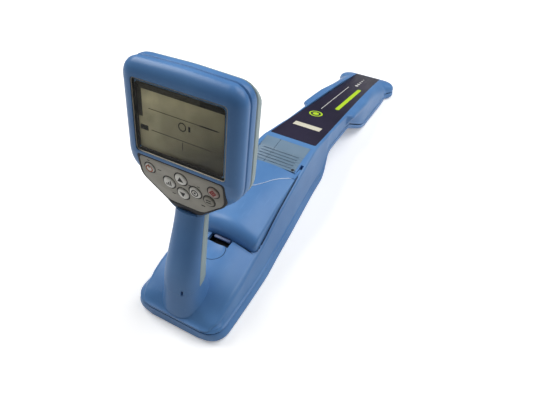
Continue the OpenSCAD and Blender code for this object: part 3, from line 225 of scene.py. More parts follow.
def soften(piece, angle=32):
    """Shade a piece smooth except at its sharper edges."""
    only(piece)
    bpy.ops.object.shade_smooth_by_angle(angle=radians(angle))


def fit(piece, material, slot, body, *replaced):
    """Give a piece its finish and its place on the frame."""
    piece.data.materials.clear()
    piece.data.materials.append(material)
    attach(piece, body)
    if replaced:
        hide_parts(*replaced)
    return piece


casing_blue = moulded("casing_blue", tone(96, 143, 198), tone(86, 132, 188), tone(116, 162, 213))
case_halves = {}
for node, name in (("rear_shell", "rear_case"), ("front_shell", "front_case")):
    half = copy_node(node, name)
    soften(half)
    case_halves[node] = fit(half, casing_blue, "blue_plastic", "casing", node)
front_case = case_halves["front_shell"]


# Casing seal: a black silicone cord in the joint of the two halves, which shows as a dark groove.
# It is extruded and pressed into a channel; the surface is dull, with a faint bloom of dust.
def dress(node, material):
    """Put a material on a frame node that stays as it is."""
    for slot in nodes[node].material_slots:
        slot.material = material


seal_rubber = moulded(
    "seal_rubber", tone(26, 30, 38), tone(18, 21, 28), tone(52, 56, 62), 0.62, 2600.0, 0.03, 0.2
)
dress("casing_seal", seal_rubber)


# Casing screws: plated steel screws driven from the back into posts of the front half.
# Each head is turned, its rim broken, and a cross recess is struck into it.
def metal(name, light, shade, roughness, along=(1.0, 1.0, 12.0)):
    """Bare metal with drawing lines along one way and a slight stain."""
    material, tree, shader = new_material(name)
    shader.inputs["Metallic"].default_value = 1.0
    place = add_node(tree, "ShaderNodeTexCoord").outputs["Object"]
    lines = add_node(tree, "ShaderNodeMapping", {"Scale": along})
    tree.links.new(place, lines.inputs["Vector"])
    drawn = add_node(tree, "ShaderNodeTexNoise", {"Scale": 420.0, "Detail": 4.0})
    tree.links.new(lines.outputs["Vector"], drawn.inputs["Vector"])
    stain = spread(tree, drawn.outputs["Fac"], 0.3, 0.7)
    tree.links.new(mix_colour(tree, stain, light, shade), shader.inputs["Base Color"])
    tree.links.new(
        spread(tree, drawn.outputs["Fac"], 0.2, 0.8, roughness - 0.08, roughness + 0.1),
        shader.inputs["Roughness"],
    )
    bump = add_node(tree, "ShaderNodeBump", {"Strength": 0.25, "Distance": 0.02 * MM})
    tree.links.new(drawn.outputs["Fac"], bump.inputs["Height"])
    tree.links.new(bump.outputs["Normal"], shader.inputs["Normal"])
    return material


def place_piece(piece, axes):
    """Move a piece made flat at the origin to its place, and keep the place in its mesh."""
    only(piece)
    piece.matrix_world = axes
    bpy.ops.object.transform_apply(location=True, rotation=True, scale=True)
    return piece


def select_faces(piece, wanted):
    """Select in edit mode the faces whose centre and normal pass a test."""
    bpy.ops.object.mode_set(mode="OBJECT")
    for face in piece.data.polygons:
        face.select = wanted(face.center, face.normal)
    for part in (*piece.data.vertices, *piece.data.edges):
        part.select = False
    bpy.context.tool_settings.mesh_select_mode = (False, False, True)
    bpy.ops.object.mode_set(mode="EDIT")


def new_piece(name):
    """Name the object just made."""
    piece = bpy.context.object
    piece.name = name
    piece.data.name = name
    return piece


def block(size, place=(0, 0, 0), turn=(0, 0, 0)):
    """Plain block to be worked on, with its size, place and turn kept in its mesh."""
    bpy.ops.object.select_all(action="DESELECT")
    bpy.ops.mesh.primitive_cube_add(size=1)
    piece = bpy.context.object
    piece.scale = size
    piece.rotation_euler = turn
    piece.location = place
    bpy.ops.object.transform_apply(location=True, rotation=True, scale=True)
    return piece


def cut_away(piece, cutter):
    """Cut one object out of another and remove the cutter."""
    only(piece)
    cut = piece.modifiers.new("cut", "BOOLEAN")
    cut.operation = "DIFFERENCE"
    cut.object = cutter
    bpy.ops.object.modifier_apply(modifier=cut.name)
    bpy.data.objects.remove(cutter)


def screw(name, head_r, head_h, shank_r, shank_h):
    """Screw standing on its shank, the head's outer face at the origin and facing up."""
    bpy.ops.object.select_all(action="DESELECT")
    middle = (0, 0, -head_h / 2)
    bpy.ops.mesh.primitive_cylinder_add(vertices=32, radius=head_r, depth=head_h, location=middle)
    piece = new_piece(name)
    bpy.ops.object.transform_apply(location=True)
    select_faces(piece, lambda centre, normal: normal.z > 0.9)
    bpy.ops.mesh.bevel(offset=head_r * 0.14, segments=3)
    select_faces(piece, lambda centre, normal: normal.z < -0.9)
    bpy.ops.mesh.inset(thickness=head_r - shank_r)
    bpy.ops.mesh.extrude_region_move(TRANSFORM_OT_translate={"value": (0, 0, -shank_h)})
    bpy.ops.object.mode_set(mode="OBJECT")
    for turn, depth in ((0, 1.1), (pi / 2, 1.04)):
        cut_away(piece, block((head_r * 1.1, head_r * 0.24, head_h * depth), turn=(0, 0, turn)))
    soften(piece)
    return piece


def loose_centres(node):
    """Boxes of the separate solids in a frame node, as lowest and highest corners."""
    part = copy_node(node, node + "_split")
    bpy.ops.object.mode_set(mode="EDIT")
    bpy.ops.mesh.separate(type="LOOSE")
    bpy.ops.object.mode_set(mode="OBJECT")
    corners = []
    for piece in list(bpy.context.selected_objects):
        points = [vertex.co for vertex in piece.data.vertices]
        corners.append([Vector(pick(p[k] for p in points) for k in range(3)) for pick in (min, max)])
        bpy.data.objects.remove(piece)
    return sorted(corners, key=lambda pair: (round(pair[0].y, 5), pair[0].x))


def join(pieces, name):
    """Make several pieces one object."""
    bpy.ops.object.select_all(action="DESELECT")
    for piece in pieces:
        piece.select_set(True)
    bpy.context.view_layer.objects.active = pieces[0]
    bpy.ops.object.join()
    return new_piece(name)


screw_steel = metal("screw_steel", tone(196, 198, 202), tone(160, 164, 170), 0.34)
screw_head_h = 2.4 * MM
shank_share = 0.52
case_screws = []
for low, high in loose_centres("casing_screws"):
    head_r = (high.x - low.x) / 2
    shank_h = high.z - low.z - screw_head_h
    fixing = screw("case_screw", head_r, screw_head_h, head_r * shank_share, shank_h)
    centre = (low + high) / 2
    place_piece(fixing, Matrix.Translation((centre.x, centre.y, low.z)) @ Matrix.Rotation(pi, 4, "X"))
    case_screws.append(fixing)
fit(join(case_screws, "case_screw_set"), screw_steel, "steel", "casing", "casing_screws")


# Blade panel: a die-cut polycarbonate film, printed on its back in dark aubergine and glued into the
# shallow pocket of the blade. A plain pattern of a ring, bars and dots is printed in lime and white.
def merge_flat(piece):
    """Merge the triangles of the flat faces of a piece, and leave it selected."""
    only(piece)
    bpy.ops.object.mode_set(mode="EDIT")
    bpy.ops.mesh.select_all(action="SELECT")
    bpy.ops.mesh.dissolve_limited(angle_limit=radians(1))
    bpy.ops.object.mode_set(mode="OBJECT")


def bevel_edges(piece, width, segments=2):
    """Round the sharp edges of a plain moulding or sheet."""
    merge_flat(piece)
    rounding = piece.modifiers.new("rounding", "BEVEL")
    rounding.width = width
    rounding.segments = segments
    rounding.limit_method = "ANGLE"
    rounding.angle_limit = radians(35)
    rounding.miter_outer = "MITER_ARC"
    bpy.ops.object.modifier_apply(modifier=rounding.name)
    soften(piece)
    return piece


def flat_bar(centre, size, corner=0.0, thickness=0.05 * MM, turn=0.0):
    """Thin printed or laid-on bar with round corners, flat at height zero."""
    bpy.ops.object.select_all(action="DESELECT")
    bpy.ops.mesh.primitive_plane_add(size=1)
    piece = bpy.context.object
    piece.scale = (size[0], size[1], 1)
    bpy.ops.object.transform_apply(location=True, rotation=True, scale=True)
    bpy.ops.object.mode_set(mode="EDIT")
    bpy.ops.mesh.select_all(action="SELECT")
    if corner:
        bpy.ops.mesh.bevel(offset=corner, segments=5, affect="VERTICES")
        bpy.ops.mesh.select_all(action="SELECT")
    raise_sheet(thickness)
    piece.matrix_world = Matrix.Translation((centre[0], centre[1], 0)) @ Matrix.Rotation(turn, 4, "Z")
    bpy.ops.object.transform_apply(location=True, rotation=True, scale=True)
    return piece


def raise_sheet(thickness):
    """Give the sheet in edit mode its thickness, with its faces pointing out."""
    bpy.ops.mesh.extrude_region_move(TRANSFORM_OT_translate={"value": (0, 0, thickness)})
    bpy.ops.mesh.select_all(action="SELECT")
    bpy.ops.mesh.normals_make_consistent(inside=False)
    bpy.ops.object.mode_set(mode="OBJECT")


def flat_disc(centre, radius, hole=0.0, corners=40, thickness=0.05 * MM, turn=0.0):
    """Thin disc, or a ring where it has a hole, or a triangle with three corners."""
    bpy.ops.object.select_all(action="DESELECT")
    bpy.ops.mesh.primitive_circle_add(vertices=corners, radius=radius, fill_type="NGON")
    piece = bpy.context.object
    bpy.ops.object.mode_set(mode="EDIT")
    bpy.ops.mesh.select_all(action="SELECT")
    if hole:
        bpy.ops.mesh.inset(thickness=radius - hole)
        bpy.ops.mesh.delete(type="FACE")
        bpy.ops.mesh.select_all(action="SELECT")
    raise_sheet(thickness)
    piece.matrix_world = Matrix.Translation((centre[0], centre[1], 0)) @ Matrix.Rotation(turn, 4, "Z")
    bpy.ops.object.transform_apply(location=True, rotation=True, scale=True)
    return piece


def axes_on(origin, across, up, out):
    """Frame with its first axis across a face, its second up it and its third out of it."""
    turn = Matrix((across, up, out)).transposed().to_4x4()
    return Matrix.Translation(origin) @ turn


film_navy = moulded(
    "film_navy", tone(50, 46, 66), tone(42, 40, 58), tone(74, 70, 92), 0.36, 3200.0, 0.008, 0.15
)
print_lime = moulded(
    "print_lime", tone(196, 232, 58), tone(186, 224, 50), tone(212, 240, 110), 0.4, 3200.0, 0.006, 0.05
)
print_white = moulded(
    "print_white", tone(226, 226, 222), tone(214, 214, 212), tone(238, 238, 236),
    0.4, 3200.0, 0.006, 0.05,
)
blade_film = copy_node("blade_panel", "blade_film")
bevel_edges(blade_film, 0.15 * MM)
fit(blade_film, film_navy, "panel_film", "casing", "blade_panel")


def widest_normal(piece, way):
    """Normal of the largest face of a piece that looks one way."""
    return max(piece.data.polygons, key=lambda face: face.area * face.normal.dot(way)).normal.copy()


film_points = [vertex.co.copy() for vertex in blade_film.data.vertices]
panel_up = widest_normal(blade_film, Vector((0, 0, 1)))
panel_across = Vector((1, 0, 0))
panel_along = panel_up.cross(panel_across)
panel_near = min(film_points, key=lambda point: point.dot(panel_along))
panel_top = max(point.dot(panel_up) for point in film_points)
panel_origin = panel_along * panel_near.dot(panel_along) + panel_up * panel_top
panel_axes = axes_on(panel_origin, panel_across, panel_along, panel_up)
panel_length = max(point.dot(panel_along) for point in film_points) - panel_near.dot(panel_along)
ring_place = (-9 * MM, panel_length * 0.30)
lime_marks = [
    flat_disc(ring_place, 11 * MM, 8.4 * MM),
    flat_disc(ring_place, 5 * MM),
    flat_bar((12 * MM, panel_length * 0.58), (7 * MM, panel_length * 0.34), 3.4 * MM),
]
white_marks = [flat_bar((-10 * MM, panel_length * 0.56), (1.2 * MM, panel_length * 0.38), 0.5 * MM)]
for step in range(5):
    dot_place = (0, panel_length * (0.80 + 0.03 * step))
    white_marks.append(flat_disc(dot_place, (3.4 - 0.5 * step) * MM, corners=24))
for marks, name, ink in (
    (lime_marks, "panel_lime_print", print_lime),
    (white_marks, "panel_white_print", print_white),
):
    art = place_piece(join(marks, name), panel_axes)
    fit(art, ink, "panel_film", "casing")


# Rating plate: a blank plate of ivory laminate near the body end of the film.
# It is sheared to size, its edges are broken, and it is glued on.
ivory = moulded(
    "ivory_laminate", tone(226, 222, 204), tone(216, 212, 192), tone(238, 236, 222),
    0.42, 2400.0, 0.01, 0.15,
)
plate = copy_node("rating_plate", "ivory_plate")
bevel_edges(plate, 0.15 * MM)
fit(plate, ivory, "ivory_plate", "casing", "rating_plate")


# Speaker grille: a grey-blue moulding with stepped ribs and slots between them, held by two screws on
# round bosses. A fine groove crosses its ribs, and a moving-coil loudspeaker sits behind the slots.
grille_grey = moulded(
    "grille_grey", tone(122, 146, 168), tone(110, 136, 158), tone(150, 172, 190),
    0.38, 1600.0, 0.02, 0.3,
)
grille = copy_node("speaker_grille", "ribbed_grille")
bevel_edges(grille, 0.2 * MM)
grille_low, grille_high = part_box("speaker_grille")
grille_tilt = radians(5.7)
groove_size = (0.7 * MM, 62 * MM, 6 * MM)
groove_place = (grille_low + grille_high) / 2 + Vector((-12 * MM, 0, 3.2 * MM))
cut_away(grille, block(groove_size, groove_place, (grille_tilt, 0, 0)))
soften(grille)
fit(grille, grille_grey, "grille_plastic", "casing", "speaker_grille")
black_moulding = moulded(
    "black_moulding", tone(30, 30, 33), tone(24, 24, 27), tone(58, 58, 62), 0.44, 1800.0, 0.02, 0.3
)
dress("speaker", black_moulding)
dark_screw_steel = metal("dark_screw_steel", tone(92, 94, 98), tone(66, 68, 72), 0.42)
grille_up = Vector((0, -sin(grille_tilt), cos(grille_tilt)))


def screws_on(node, name, out, material, head_h):
    """Screws with struck recesses in place of a node's plain ones, their heads facing out."""
    pieces = []
    side = Vector((1, 0, 0))
    for low, high in loose_centres(node):
        head_r = (high.x - low.x) / 2
        reach = abs(out.y) * (high.y - low.y) + abs(out.z) * (high.z - low.z)
        length = reach - 4 * head_r * abs(out.y * out.z)
        fixing = screw("fixing", head_r, head_h, head_r * shank_share, length - head_h)
        place_piece(fixing, axes_on((low + high) / 2 + out * length / 2, side, out.cross(side), out))
        pieces.append(fixing)
    return fit(join(pieces, name), material, "steel", "casing", node)


screws_on("grille_screws", "grille_screw_pair", grille_up, dark_screw_steel, 1.2 * MM)


# Main board and antennas: an epoxy board with printed tracks on four posts, and two ferrite rods wound
# with enamelled copper wire, tied to a glass-fibre spine that runs down the blade.
def board_material():
    """Green board with tracks in rows and small tinned pads."""
    material, tree, shader = new_material("tracked_board")
    place = add_node(tree, "ShaderNodeTexCoord").outputs["Object"]
    tracks = add_node(tree, "ShaderNodeTexBrick", {
        "Color1": tone(22, 84, 52), "Color2": tone(28, 96, 60), "Mortar": tone(64, 138, 84),
        "Scale": 90.0, "Mortar Size": 0.03, "Brick Width": 0.7, "Row Height": 0.22,
    })
    tree.links.new(place, tracks.inputs["Vector"])
    pads = add_node(tree, "ShaderNodeTexVoronoi", {"Scale": 210.0})
    tree.links.new(place, pads.inputs["Vector"])
    pad = spread(tree, pads.outputs["Distance"], 0.2, 0.16)
    tinned = mix_colour(tree, pad, tracks.outputs["Color"], tone(176, 178, 170))
    tree.links.new(tinned, shader.inputs["Base Color"])
    tree.links.new(spread(tree, pad, 0.0, 1.0, 0.42, 0.25), shader.inputs["Roughness"])
    return material


tracked_board = board_material()
for node in ("main_board", "display_board", "key_board"):
    dress(node, tracked_board)
glass_fibre = moulded("glass_fibre", tone(176, 170, 128), tone(160, 156, 112), tone(196, 190, 150), 0.5)
dress("antenna_spine", glass_fibre)
ferrite_grey = moulded(
    "ferrite_grey", tone(48, 48, 52), tone(38, 38, 42), tone(72, 72, 78), 0.5, 900.0, 0.03
)
for node in ("upper_antenna_core", "lower_antenna_core"):
    dress(node, ferrite_grey)


def winding_material():
    """Enamelled copper wire laid turn by turn along the rod."""
    material, tree, shader = new_material("wound_copper")
    shader.inputs["Metallic"].default_value = 0.9
    place = add_node(tree, "ShaderNodeTexCoord").outputs["Object"]
    turns = add_node(
        tree, "ShaderNodeTexWave", {"Scale": 620.0, "Distortion": 0.3}, bands_direction="X"
    )
    tree.links.new(place, turns.inputs["Vector"])
    tree.links.new(
        mix_colour(tree, turns.outputs["Fac"], tone(112, 58, 26), tone(196, 118, 66)),
        shader.inputs["Base Color"],
    )
    tree.links.new(spread(tree, turns.outputs["Fac"], 0.0, 1.0, 0.5, 0.3), shader.inputs["Roughness"])
    bump = add_node(tree, "ShaderNodeBump", {"Distance": 0.2 * MM})
    tree.links.new(turns.outputs["Fac"], bump.inputs["Height"])
    tree.links.new(bump.outputs["Normal"], shader.inputs["Normal"])
    return material


wound_copper = winding_material()
for node in ("upper_antenna_coil", "lower_antenna_coil"):
    dress(node, wound_copper)


# Battery bay: a black moulded tray, two plain jacketed cells that lie across it, and nickel-plated
# spring contacts riveted to its ends. They show when the door is open.
tray = copy_node("battery_tray", "cell_tray")
soften(tray)
fit(tray, black_moulding, "black_plastic", "casing", "battery_tray")
cell_jacket = moulded(
    "cell_jacket", tone(66, 92, 84), tone(58, 84, 76), tone(120, 140, 132), 0.3, 2200.0, 0.006, 0.3
)
cell_steel = metal("cell_steel", tone(206, 206, 202), tone(180, 180, 176), 0.28, (14.0, 1.0, 1.0))
for node in ("battery_cell_near", "battery_cell_far"):
    cell = copy_node(node, node.replace("battery_", "jacketed_"))
    bevel_edges(cell, 0.8 * MM, 3)
    fit(cell, cell_jacket, "cell_jacket", "casing", node)
    cell.data.materials.append(cell_steel)
    for face in cell.data.polygons:
        face.material_index = 1 if abs(face.normal.x) > 0.9 else 0


def coil_spring(name, radius, wire, length, turns):
    """Coil of wire round the X axis, starting at the origin, its ends closed."""
    bpy.ops.object.select_all(action="DESELECT")
    bpy.ops.mesh.primitive_circle_add(vertices=12, radius=wire, location=(wire, radius, 0))
    piece = new_piece(name)
    bpy.ops.object.transform_apply(location=True)
    winding = piece.modifiers.new("winding", "SCREW")
    winding.axis = "X"
    winding.angle = 2 * pi * turns
    winding.screw_offset = length - 2 * wire
    winding.steps = 28 * turns
    winding.render_steps = 28 * turns
    bpy.ops.object.modifier_apply(modifier=winding.name)
    bpy.ops.object.mode_set(mode="EDIT")
    bpy.ops.mesh.select_all(action="SELECT")
    bpy.ops.mesh.fill_holes(sides=0)
    bpy.ops.mesh.normals_make_consistent(inside=False)
    bpy.ops.object.mode_set(mode="OBJECT")
    soften(piece, 40)
    return piece


springs = []
for low, high in loose_centres("battery_contacts"):
    middle = (low + high) / 2
    coil = coil_spring("cell_spring", radius=6 * MM, wire=0.45 * MM, length=high.x - low.x, turns=3)
    place_piece(coil, Matrix.Translation((low.x, middle.y, middle.z)))
    springs.append(coil)
spring_steel = metal("spring_steel", tone(190, 190, 186), tone(158, 158, 154), 0.3)
fit(join(springs, "contact_springs"), spring_steel, "spring_steel", "casing", "battery_contacts")


# Battery door: a blue moulded lid that carries on the crown of the body, hung at its far end.
# Its two hinge pins and the pin of its latch are ground steel, pressed into their bores.
door = copy_node("battery_door", "bay_door")
soften(door)
fit(door, casing_blue, "blue_plastic", "battery_door", "battery_door")
pin_steel = metal("pin_steel", tone(182, 184, 188), tone(150, 152, 158), 0.3, (12.0, 1.0, 1.0))
for node in ("door_hinge_pins", "latch_pin"):
    dress(node, pin_steel)


# Door crease: a low line moulded on the lid, bent to a blunt point towards the near end.
# It is painted near-white as a highlight along its ridge and thins out at both ends.
drop_z = 120 * MM
tip_share = 0.1
crease_path = [(-36, -109.7), (-32.7, -111.9), (-24.8, -118.5), (-17.6, -126.2)]
crease_path += [(-10, -138), (-3.3, -146), (0, -148.5)]
crease_path += [(-x, y) for x, y in reversed(crease_path[:-1])]


def laid_strip(name, path, width, rise, target, along="X"):
    """Raised line along a path of places in millimetres, tapered at both ends and laid on a piece."""
    def taper(share):
        return (1, share, 1) if along == "X" else (share, 1, 1)

    bpy.ops.object.select_all(action="DESELECT")
    bpy.ops.mesh.primitive_plane_add(size=1)
    piece = new_piece(name)
    bpy.ops.object.mode_set(mode="EDIT")
    bpy.ops.mesh.select_all(action="SELECT")
    bpy.ops.mesh.delete(type="ONLY_FACE")
    bpy.ops.object.mode_set(mode="OBJECT")
    for edge in piece.data.edges:
        ends = [piece.data.vertices[corner].co for corner in edge.vertices]
        edge.select = max(end.x for end in ends) < 0
    bpy.ops.object.mode_set(mode="EDIT")
    bpy.ops.mesh.select_mode(type="EDGE")
    bpy.ops.mesh.select_all(action="INVERT")
    bpy.ops.mesh.delete(type="EDGE")
    bpy.ops.mesh.select_all(action="SELECT")
    left_edge = Vector((-0.5, 0, 0))
    bpy.ops.transform.resize(value=(1, width * tip_share, 1), center_override=left_edge)
    if along == "Y":
        bpy.ops.transform.rotate(value=pi / 2, orient_axis="Z", center_override=left_edge)
    first = Vector((path[0][0] * MM, path[0][1] * MM, drop_z))
    bpy.ops.transform.translate(value=first - left_edge)
    for step, (x, y) in enumerate(path[1:], 1):
        move = Vector((x - path[step - 1][0], y - path[step - 1][1], 0)) * MM
        bpy.ops.mesh.extrude_region_move(TRANSFORM_OT_translate={"value": move})
        centre = (x * MM, y * MM, drop_z)
        if step == 1:
            bpy.ops.transform.resize(value=taper(1 / tip_share), center_override=centre)
        if step == len(path) - 1:
            bpy.ops.transform.resize(value=taper(tip_share), center_override=centre)
    bpy.ops.mesh.select_all(action="SELECT")
    bpy.ops.mesh.subdivide(number_cuts=3)
    bpy.ops.object.mode_set(mode="OBJECT")
    return lay_on(piece, target, rise)


def lay_on(piece, target, rise):
    """Drop an open sheet from above on a piece and give it its thickness."""
    only(piece)
    lay = piece.modifiers.new("lay", "SHRINKWRAP")
    lay.target = target
    lay.wrap_method = "PROJECT"
    lay.use_project_z = True
    lay.use_negative_direction = True
    bpy.ops.object.modifier_apply(modifier=lay.name)
    bpy.ops.object.mode_set(mode="EDIT")
    bpy.ops.mesh.select_all(action="SELECT")
    raise_sheet(rise)
    soften(piece, 80)
    return piece


# Painted highlight: the crease is coloured near-white to stand for the light it catches.
crease_painted_highlight = moulded("crease_painted_highlight", tone(214, 226, 242), tone(190, 208, 234), tone(232, 240, 250), 0.3)
crease = laid_strip("door_crease", crease_path, 1.3 * MM, 0.35 * MM, door)
fit(crease, crease_painted_highlight, "blue_plastic", "battery_door")


# Rim of the thumb dish: a fine groove round the dish at the near end of the casing.
# It is part of the moulding and dark with shadow; here that shadow is painted as a thin dark ring laid on
# the front half.
dish_place = (0, -241.8 * MM, drop_z)
dish_rim_r = 16 * MM
dish_rim_w = 0.8 * MM
bpy.ops.object.select_all(action="DESELECT")
bpy.ops.mesh.primitive_circle_add(vertices=96, radius=dish_rim_r, fill_type="NGON", location=dish_place)
dish_line = new_piece("dish_line")
bpy.ops.object.transform_apply(location=True)
bpy.ops.object.mode_set(mode="EDIT")
bpy.ops.mesh.select_all(action="SELECT")
bpy.ops.mesh.inset(thickness=dish_rim_w)
bpy.ops.mesh.delete(type="FACE")
bpy.ops.object.mode_set(mode="OBJECT")
dish_rim_shadow_blue = moulded("dish_rim_shadow_blue", tone(40, 68, 108), tone(34, 60, 98), tone(58, 90, 132), 0.4)
fit(lay_on(dish_line, front_case, 0.08 * MM), dish_rim_shadow_blue, "blue_plastic", "casing")


# Door gap shadow: thin black strips on the casing, close along the sides and the near end of the door.
# They are painted shadow laid beside the gap, so the gap round the door shows dark.
gap_shadow_w = 1.1 * MM
gap_shadow_rise = 0.1 * MM
side_gap_mm = 1.15
end_gap_mm = 0.9
gap_shadow_near_mm, gap_shadow_far_mm = -216, -94
least_half_width_mm = 36
door_edge = {}
for vertex in door.data.vertices:
    row = round(vertex.co.y / MM)
    door_edge[row] = max(door_edge.get(row, 0), vertex.co.x / MM)
edge_rows = [
    (x + side_gap_mm, y) for y, x in sorted(door_edge.items())
    if gap_shadow_near_mm < y < gap_shadow_far_mm and x > least_half_width_mm
]
end_row = min(vertex.co.y for vertex in door.data.vertices) / MM - end_gap_mm
# Painted shadow: each strip takes the black seal rubber to darken the casing beside the gap.
for side, name in ((-1, "left"), (1, "right")):
    edge_path = [(side * x, y) for x, y in edge_rows]
    side_gap_shadow = laid_strip("door_gap_shadow_" + name, edge_path, gap_shadow_w, gap_shadow_rise, front_case, "Y")
    fit(side_gap_shadow, seal_rubber, "black_plastic", "casing")
    end_path = [(side * x, end_row) for x in (17, 24, 31, 38, 43)]
    end_gap_shadow = laid_strip("door_end_gap_shadow_" + name, end_path, gap_shadow_w, gap_shadow_rise, front_case)
    fit(end_gap_shadow, seal_rubber, "black_plastic", "casing")


# Door latch: a finger lever of pale lavender-blue nylon across the near end of the door.
# It is moulded in one piece with its edges rounded, and it is sprung on a steel pin.
latch_nylon = moulded(
    "latch_nylon", tone(138, 158, 206), tone(128, 148, 196), tone(176, 190, 222), 0.32
)
latch = copy_node("door_latch", "finger_latch")
bevel_edges(latch, 0.4 * MM, 3)
fit(latch, latch_nylon, "latch_plastic", "door_latch", "door_latch")


# Pocket shadow: a thin black tray, open at the top, that sits in the latch pocket.
# It is painted shadow that makes the hollow under the latch dark.
pocket_shadow_size = (29 * MM, 12.6 * MM, 5.2 * MM)
pocket_shadow_place = (0, -226 * MM, 46.4 * MM)
pocket_shadow_wall = 0.3 * MM
block(pocket_shadow_size, pocket_shadow_place)
pocket_shadow = new_piece("pocket_painted_shadow")
select_faces(pocket_shadow, lambda centre, normal: normal.z > 0.9)
bpy.ops.mesh.delete(type="FACE")
bpy.ops.object.mode_set(mode="OBJECT")
shadow_shell = pocket_shadow.modifiers.new("shadow_shell", "SOLIDIFY")
shadow_shell.thickness = pocket_shadow_wall
shadow_shell.offset = -1
bpy.ops.object.modifier_apply(modifier=shadow_shell.name)
soften(pocket_shadow)
fit(pocket_shadow, black_moulding, "black_plastic", "casing")


# Handle: two moulded half shells that meet along its sides, round the duct for the cables.
# The near one is blue like the casing, the far one is a soft pale grey-green plastic.
grip_grey = moulded(
    "grip_grey", tone(166, 184, 186), tone(154, 172, 174), tone(190, 204, 204), 0.42, 1300.0, 0.025
)
for node, name, material, slot in (
    ("handle_front", "handle_near_half", casing_blue, "blue_plastic"),
    ("handle_grip", "handle_far_half", grip_grey, "grip_grey"),
):
    half = copy_node(node, name)
    soften(half, 40)
    fit(half, material, slot, "casing", node)


# Display head: a blue bezel and a blue band with dark seals in the joints, closed by a pale grey
# rear shell. All are mouldings, and four plated screws go in from the rear.
for node, name, material, slot in (
    ("head_bezel", "display_bezel", casing_blue, "blue_plastic"),
    ("head_band", "display_band", casing_blue, "blue_plastic"),
    ("head_rear", "display_back", grip_grey, "grip_grey"),
):
    shell = copy_node(node, name)
    soften(shell)
    fit(shell, material, slot, "casing", node)
for node in ("head_seal_front", "head_seal_rear"):
    dress(node, seal_rubber)
screw_lean = radians(8)
head_back = Vector((0, cos(screw_lean), -sin(screw_lean)))
screws_on("head_screws", "head_screw_set", head_back, screw_steel, screw_head_h)


# Display window: a clear cut plate whose ground edge catches the light, glued into the bezel.
# A coat against glare lets it mirror little, and wiping has left a faint smear on it.
coated_ior = 1.2
head_out = widest_normal(nodes["display_window"], Vector((0, -1, 0)))
head_up = head_out.cross(Vector((1, 0, 0)))


def face_axes(node, out, up):
    """Frame on a node's outer face, in the middle of the node's box."""
    low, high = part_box(node)
    middle = (low + high) / 2
    top = max(vertex.co.dot(out) for vertex in nodes[node].data.vertices)
    return axes_on(middle + out * (top - middle.dot(out)), Vector((1, 0, 0)), up, out)


def glass_material():
    """Clear plate with a faint smear, which lets the light of the lamps through to the panel."""
    material, tree, shader = new_material("window_glass")
    shader.inputs["Transmission Weight"].default_value = 1.0
    shader.inputs["IOR"].default_value = coated_ior
    place = add_node(tree, "ShaderNodeTexCoord").outputs["Object"]
    smear = add_node(tree, "ShaderNodeTexNoise", {"Scale": 60.0, "Detail": 3.0})
    tree.links.new(place, smear.inputs["Vector"])
    tree.links.new(
        mix_colour(tree, smear.outputs["Fac"], tone(244, 244, 236), tone(232, 232, 222)),
        shader.inputs["Base Color"],
    )
    tree.links.new(spread(tree, smear.outputs["Fac"], 0.3, 0.7, 0.02, 0.06), shader.inputs["Roughness"])
    clear = add_node(tree, "ShaderNodeBsdfTransparent")
    choice = add_node(tree, "ShaderNodeMixShader")
    tree.links.new(add_node(tree, "ShaderNodeLightPath").outputs["Is Shadow Ray"], choice.inputs[0])
    tree.links.new(shader.outputs[0], choice.inputs[1])
    tree.links.new(clear.outputs[0], choice.inputs[2])
    tree.links.new(choice.outputs[0], tree.nodes["Material Output"].inputs["Surface"])
    return material


ground_edge = moulded("ground_edge", tone(226, 220, 206), tone(212, 206, 192), tone(238, 234, 224), 0.5)
window = copy_node("display_window", "clear_window")
window.data.materials.clear()
window_glass = glass_material()
window.data.materials.append(window_glass)
window.data.materials.append(ground_edge)
merge_flat(window)
ground = window.modifiers.new("ground", "BEVEL")
ground.width = 0.7 * MM
ground.segments = 1
ground.limit_method = "ANGLE"
ground.angle_limit = radians(60)
ground.material = 1
bpy.ops.object.modifier_apply(modifier=ground.name)
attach(window, "casing")
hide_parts("display_window")


# Liquid-crystal panel: a reflective glass panel in a beige-green tint, held behind the window.
# Its lit segments are plain bars and a ring, the weaker ones half faded.
def lcd_material():
    """Clouded tint with painted shade, pale at the top left and darker to the bottom right, and a painted
    glow.
    """
    material, tree, shader = new_material("lcd_tint")
    place = add_node(tree, "ShaderNodeTexCoord").outputs["Object"]
    slope = add_node(tree, "ShaderNodeVectorMath", operation="DOT_PRODUCT")
    tree.links.new(place, slope.inputs[0])
    slope.inputs[1].default_value = (0.55, 0.0, -0.85)
    # Painted shade: the tint darkens from the top left towards the bottom right.
    painted_shade_fall = spread(tree, slope.outputs["Value"], -0.235, -0.168)
    cloud = add_node(tree, "ShaderNodeTexNoise", {"Scale": 40.0, "Detail": 3.0})
    tree.links.new(place, cloud.inputs["Vector"])
    uneven = spread(tree, cloud.outputs["Fac"], 0.35, 0.62, 0.62, 1.0)
    tint = mix_colour(tree, painted_shade_fall, tone(238, 229, 194), tone(46, 43, 33))
    tint = mix_colour(tree, uneven, tone(70, 67, 54), tint)
    tree.links.new(tint, shader.inputs["Base Color"])
    # Painted glow: the tint is also given off as faint light, though the panel has no lamp.
    tree.links.new(tint, shader.inputs["Emission Color"])
    shader.inputs["Emission Strength"].default_value = 0.07
    tree.links.new(spread(tree, cloud.outputs["Fac"], 0.3, 0.7, 0.3, 0.42), shader.inputs["Roughness"])
    return material


lcd = copy_node("lcd_panel", "crystal_panel")
bevel_edges(lcd, 0.2 * MM)
fit(lcd, lcd_material(), "lcd", "casing", "lcd_panel")
lcd_axes = face_axes("lcd_panel", head_out, head_up)


def printing_ink(name, light, shade, rubbed_and_highlight, roughness=0.46):
    """Thin matt ink, almost without grain."""
    return moulded(name, light, shade, rubbed_and_highlight, roughness, 3200.0, 0.004, 0.02)


def printed(name, marks, axes, ink, slot, body):
    """Flat marks joined to one thin layer of ink on a face."""
    return fit(place_piece(join(marks, name), axes), ink, slot, body)


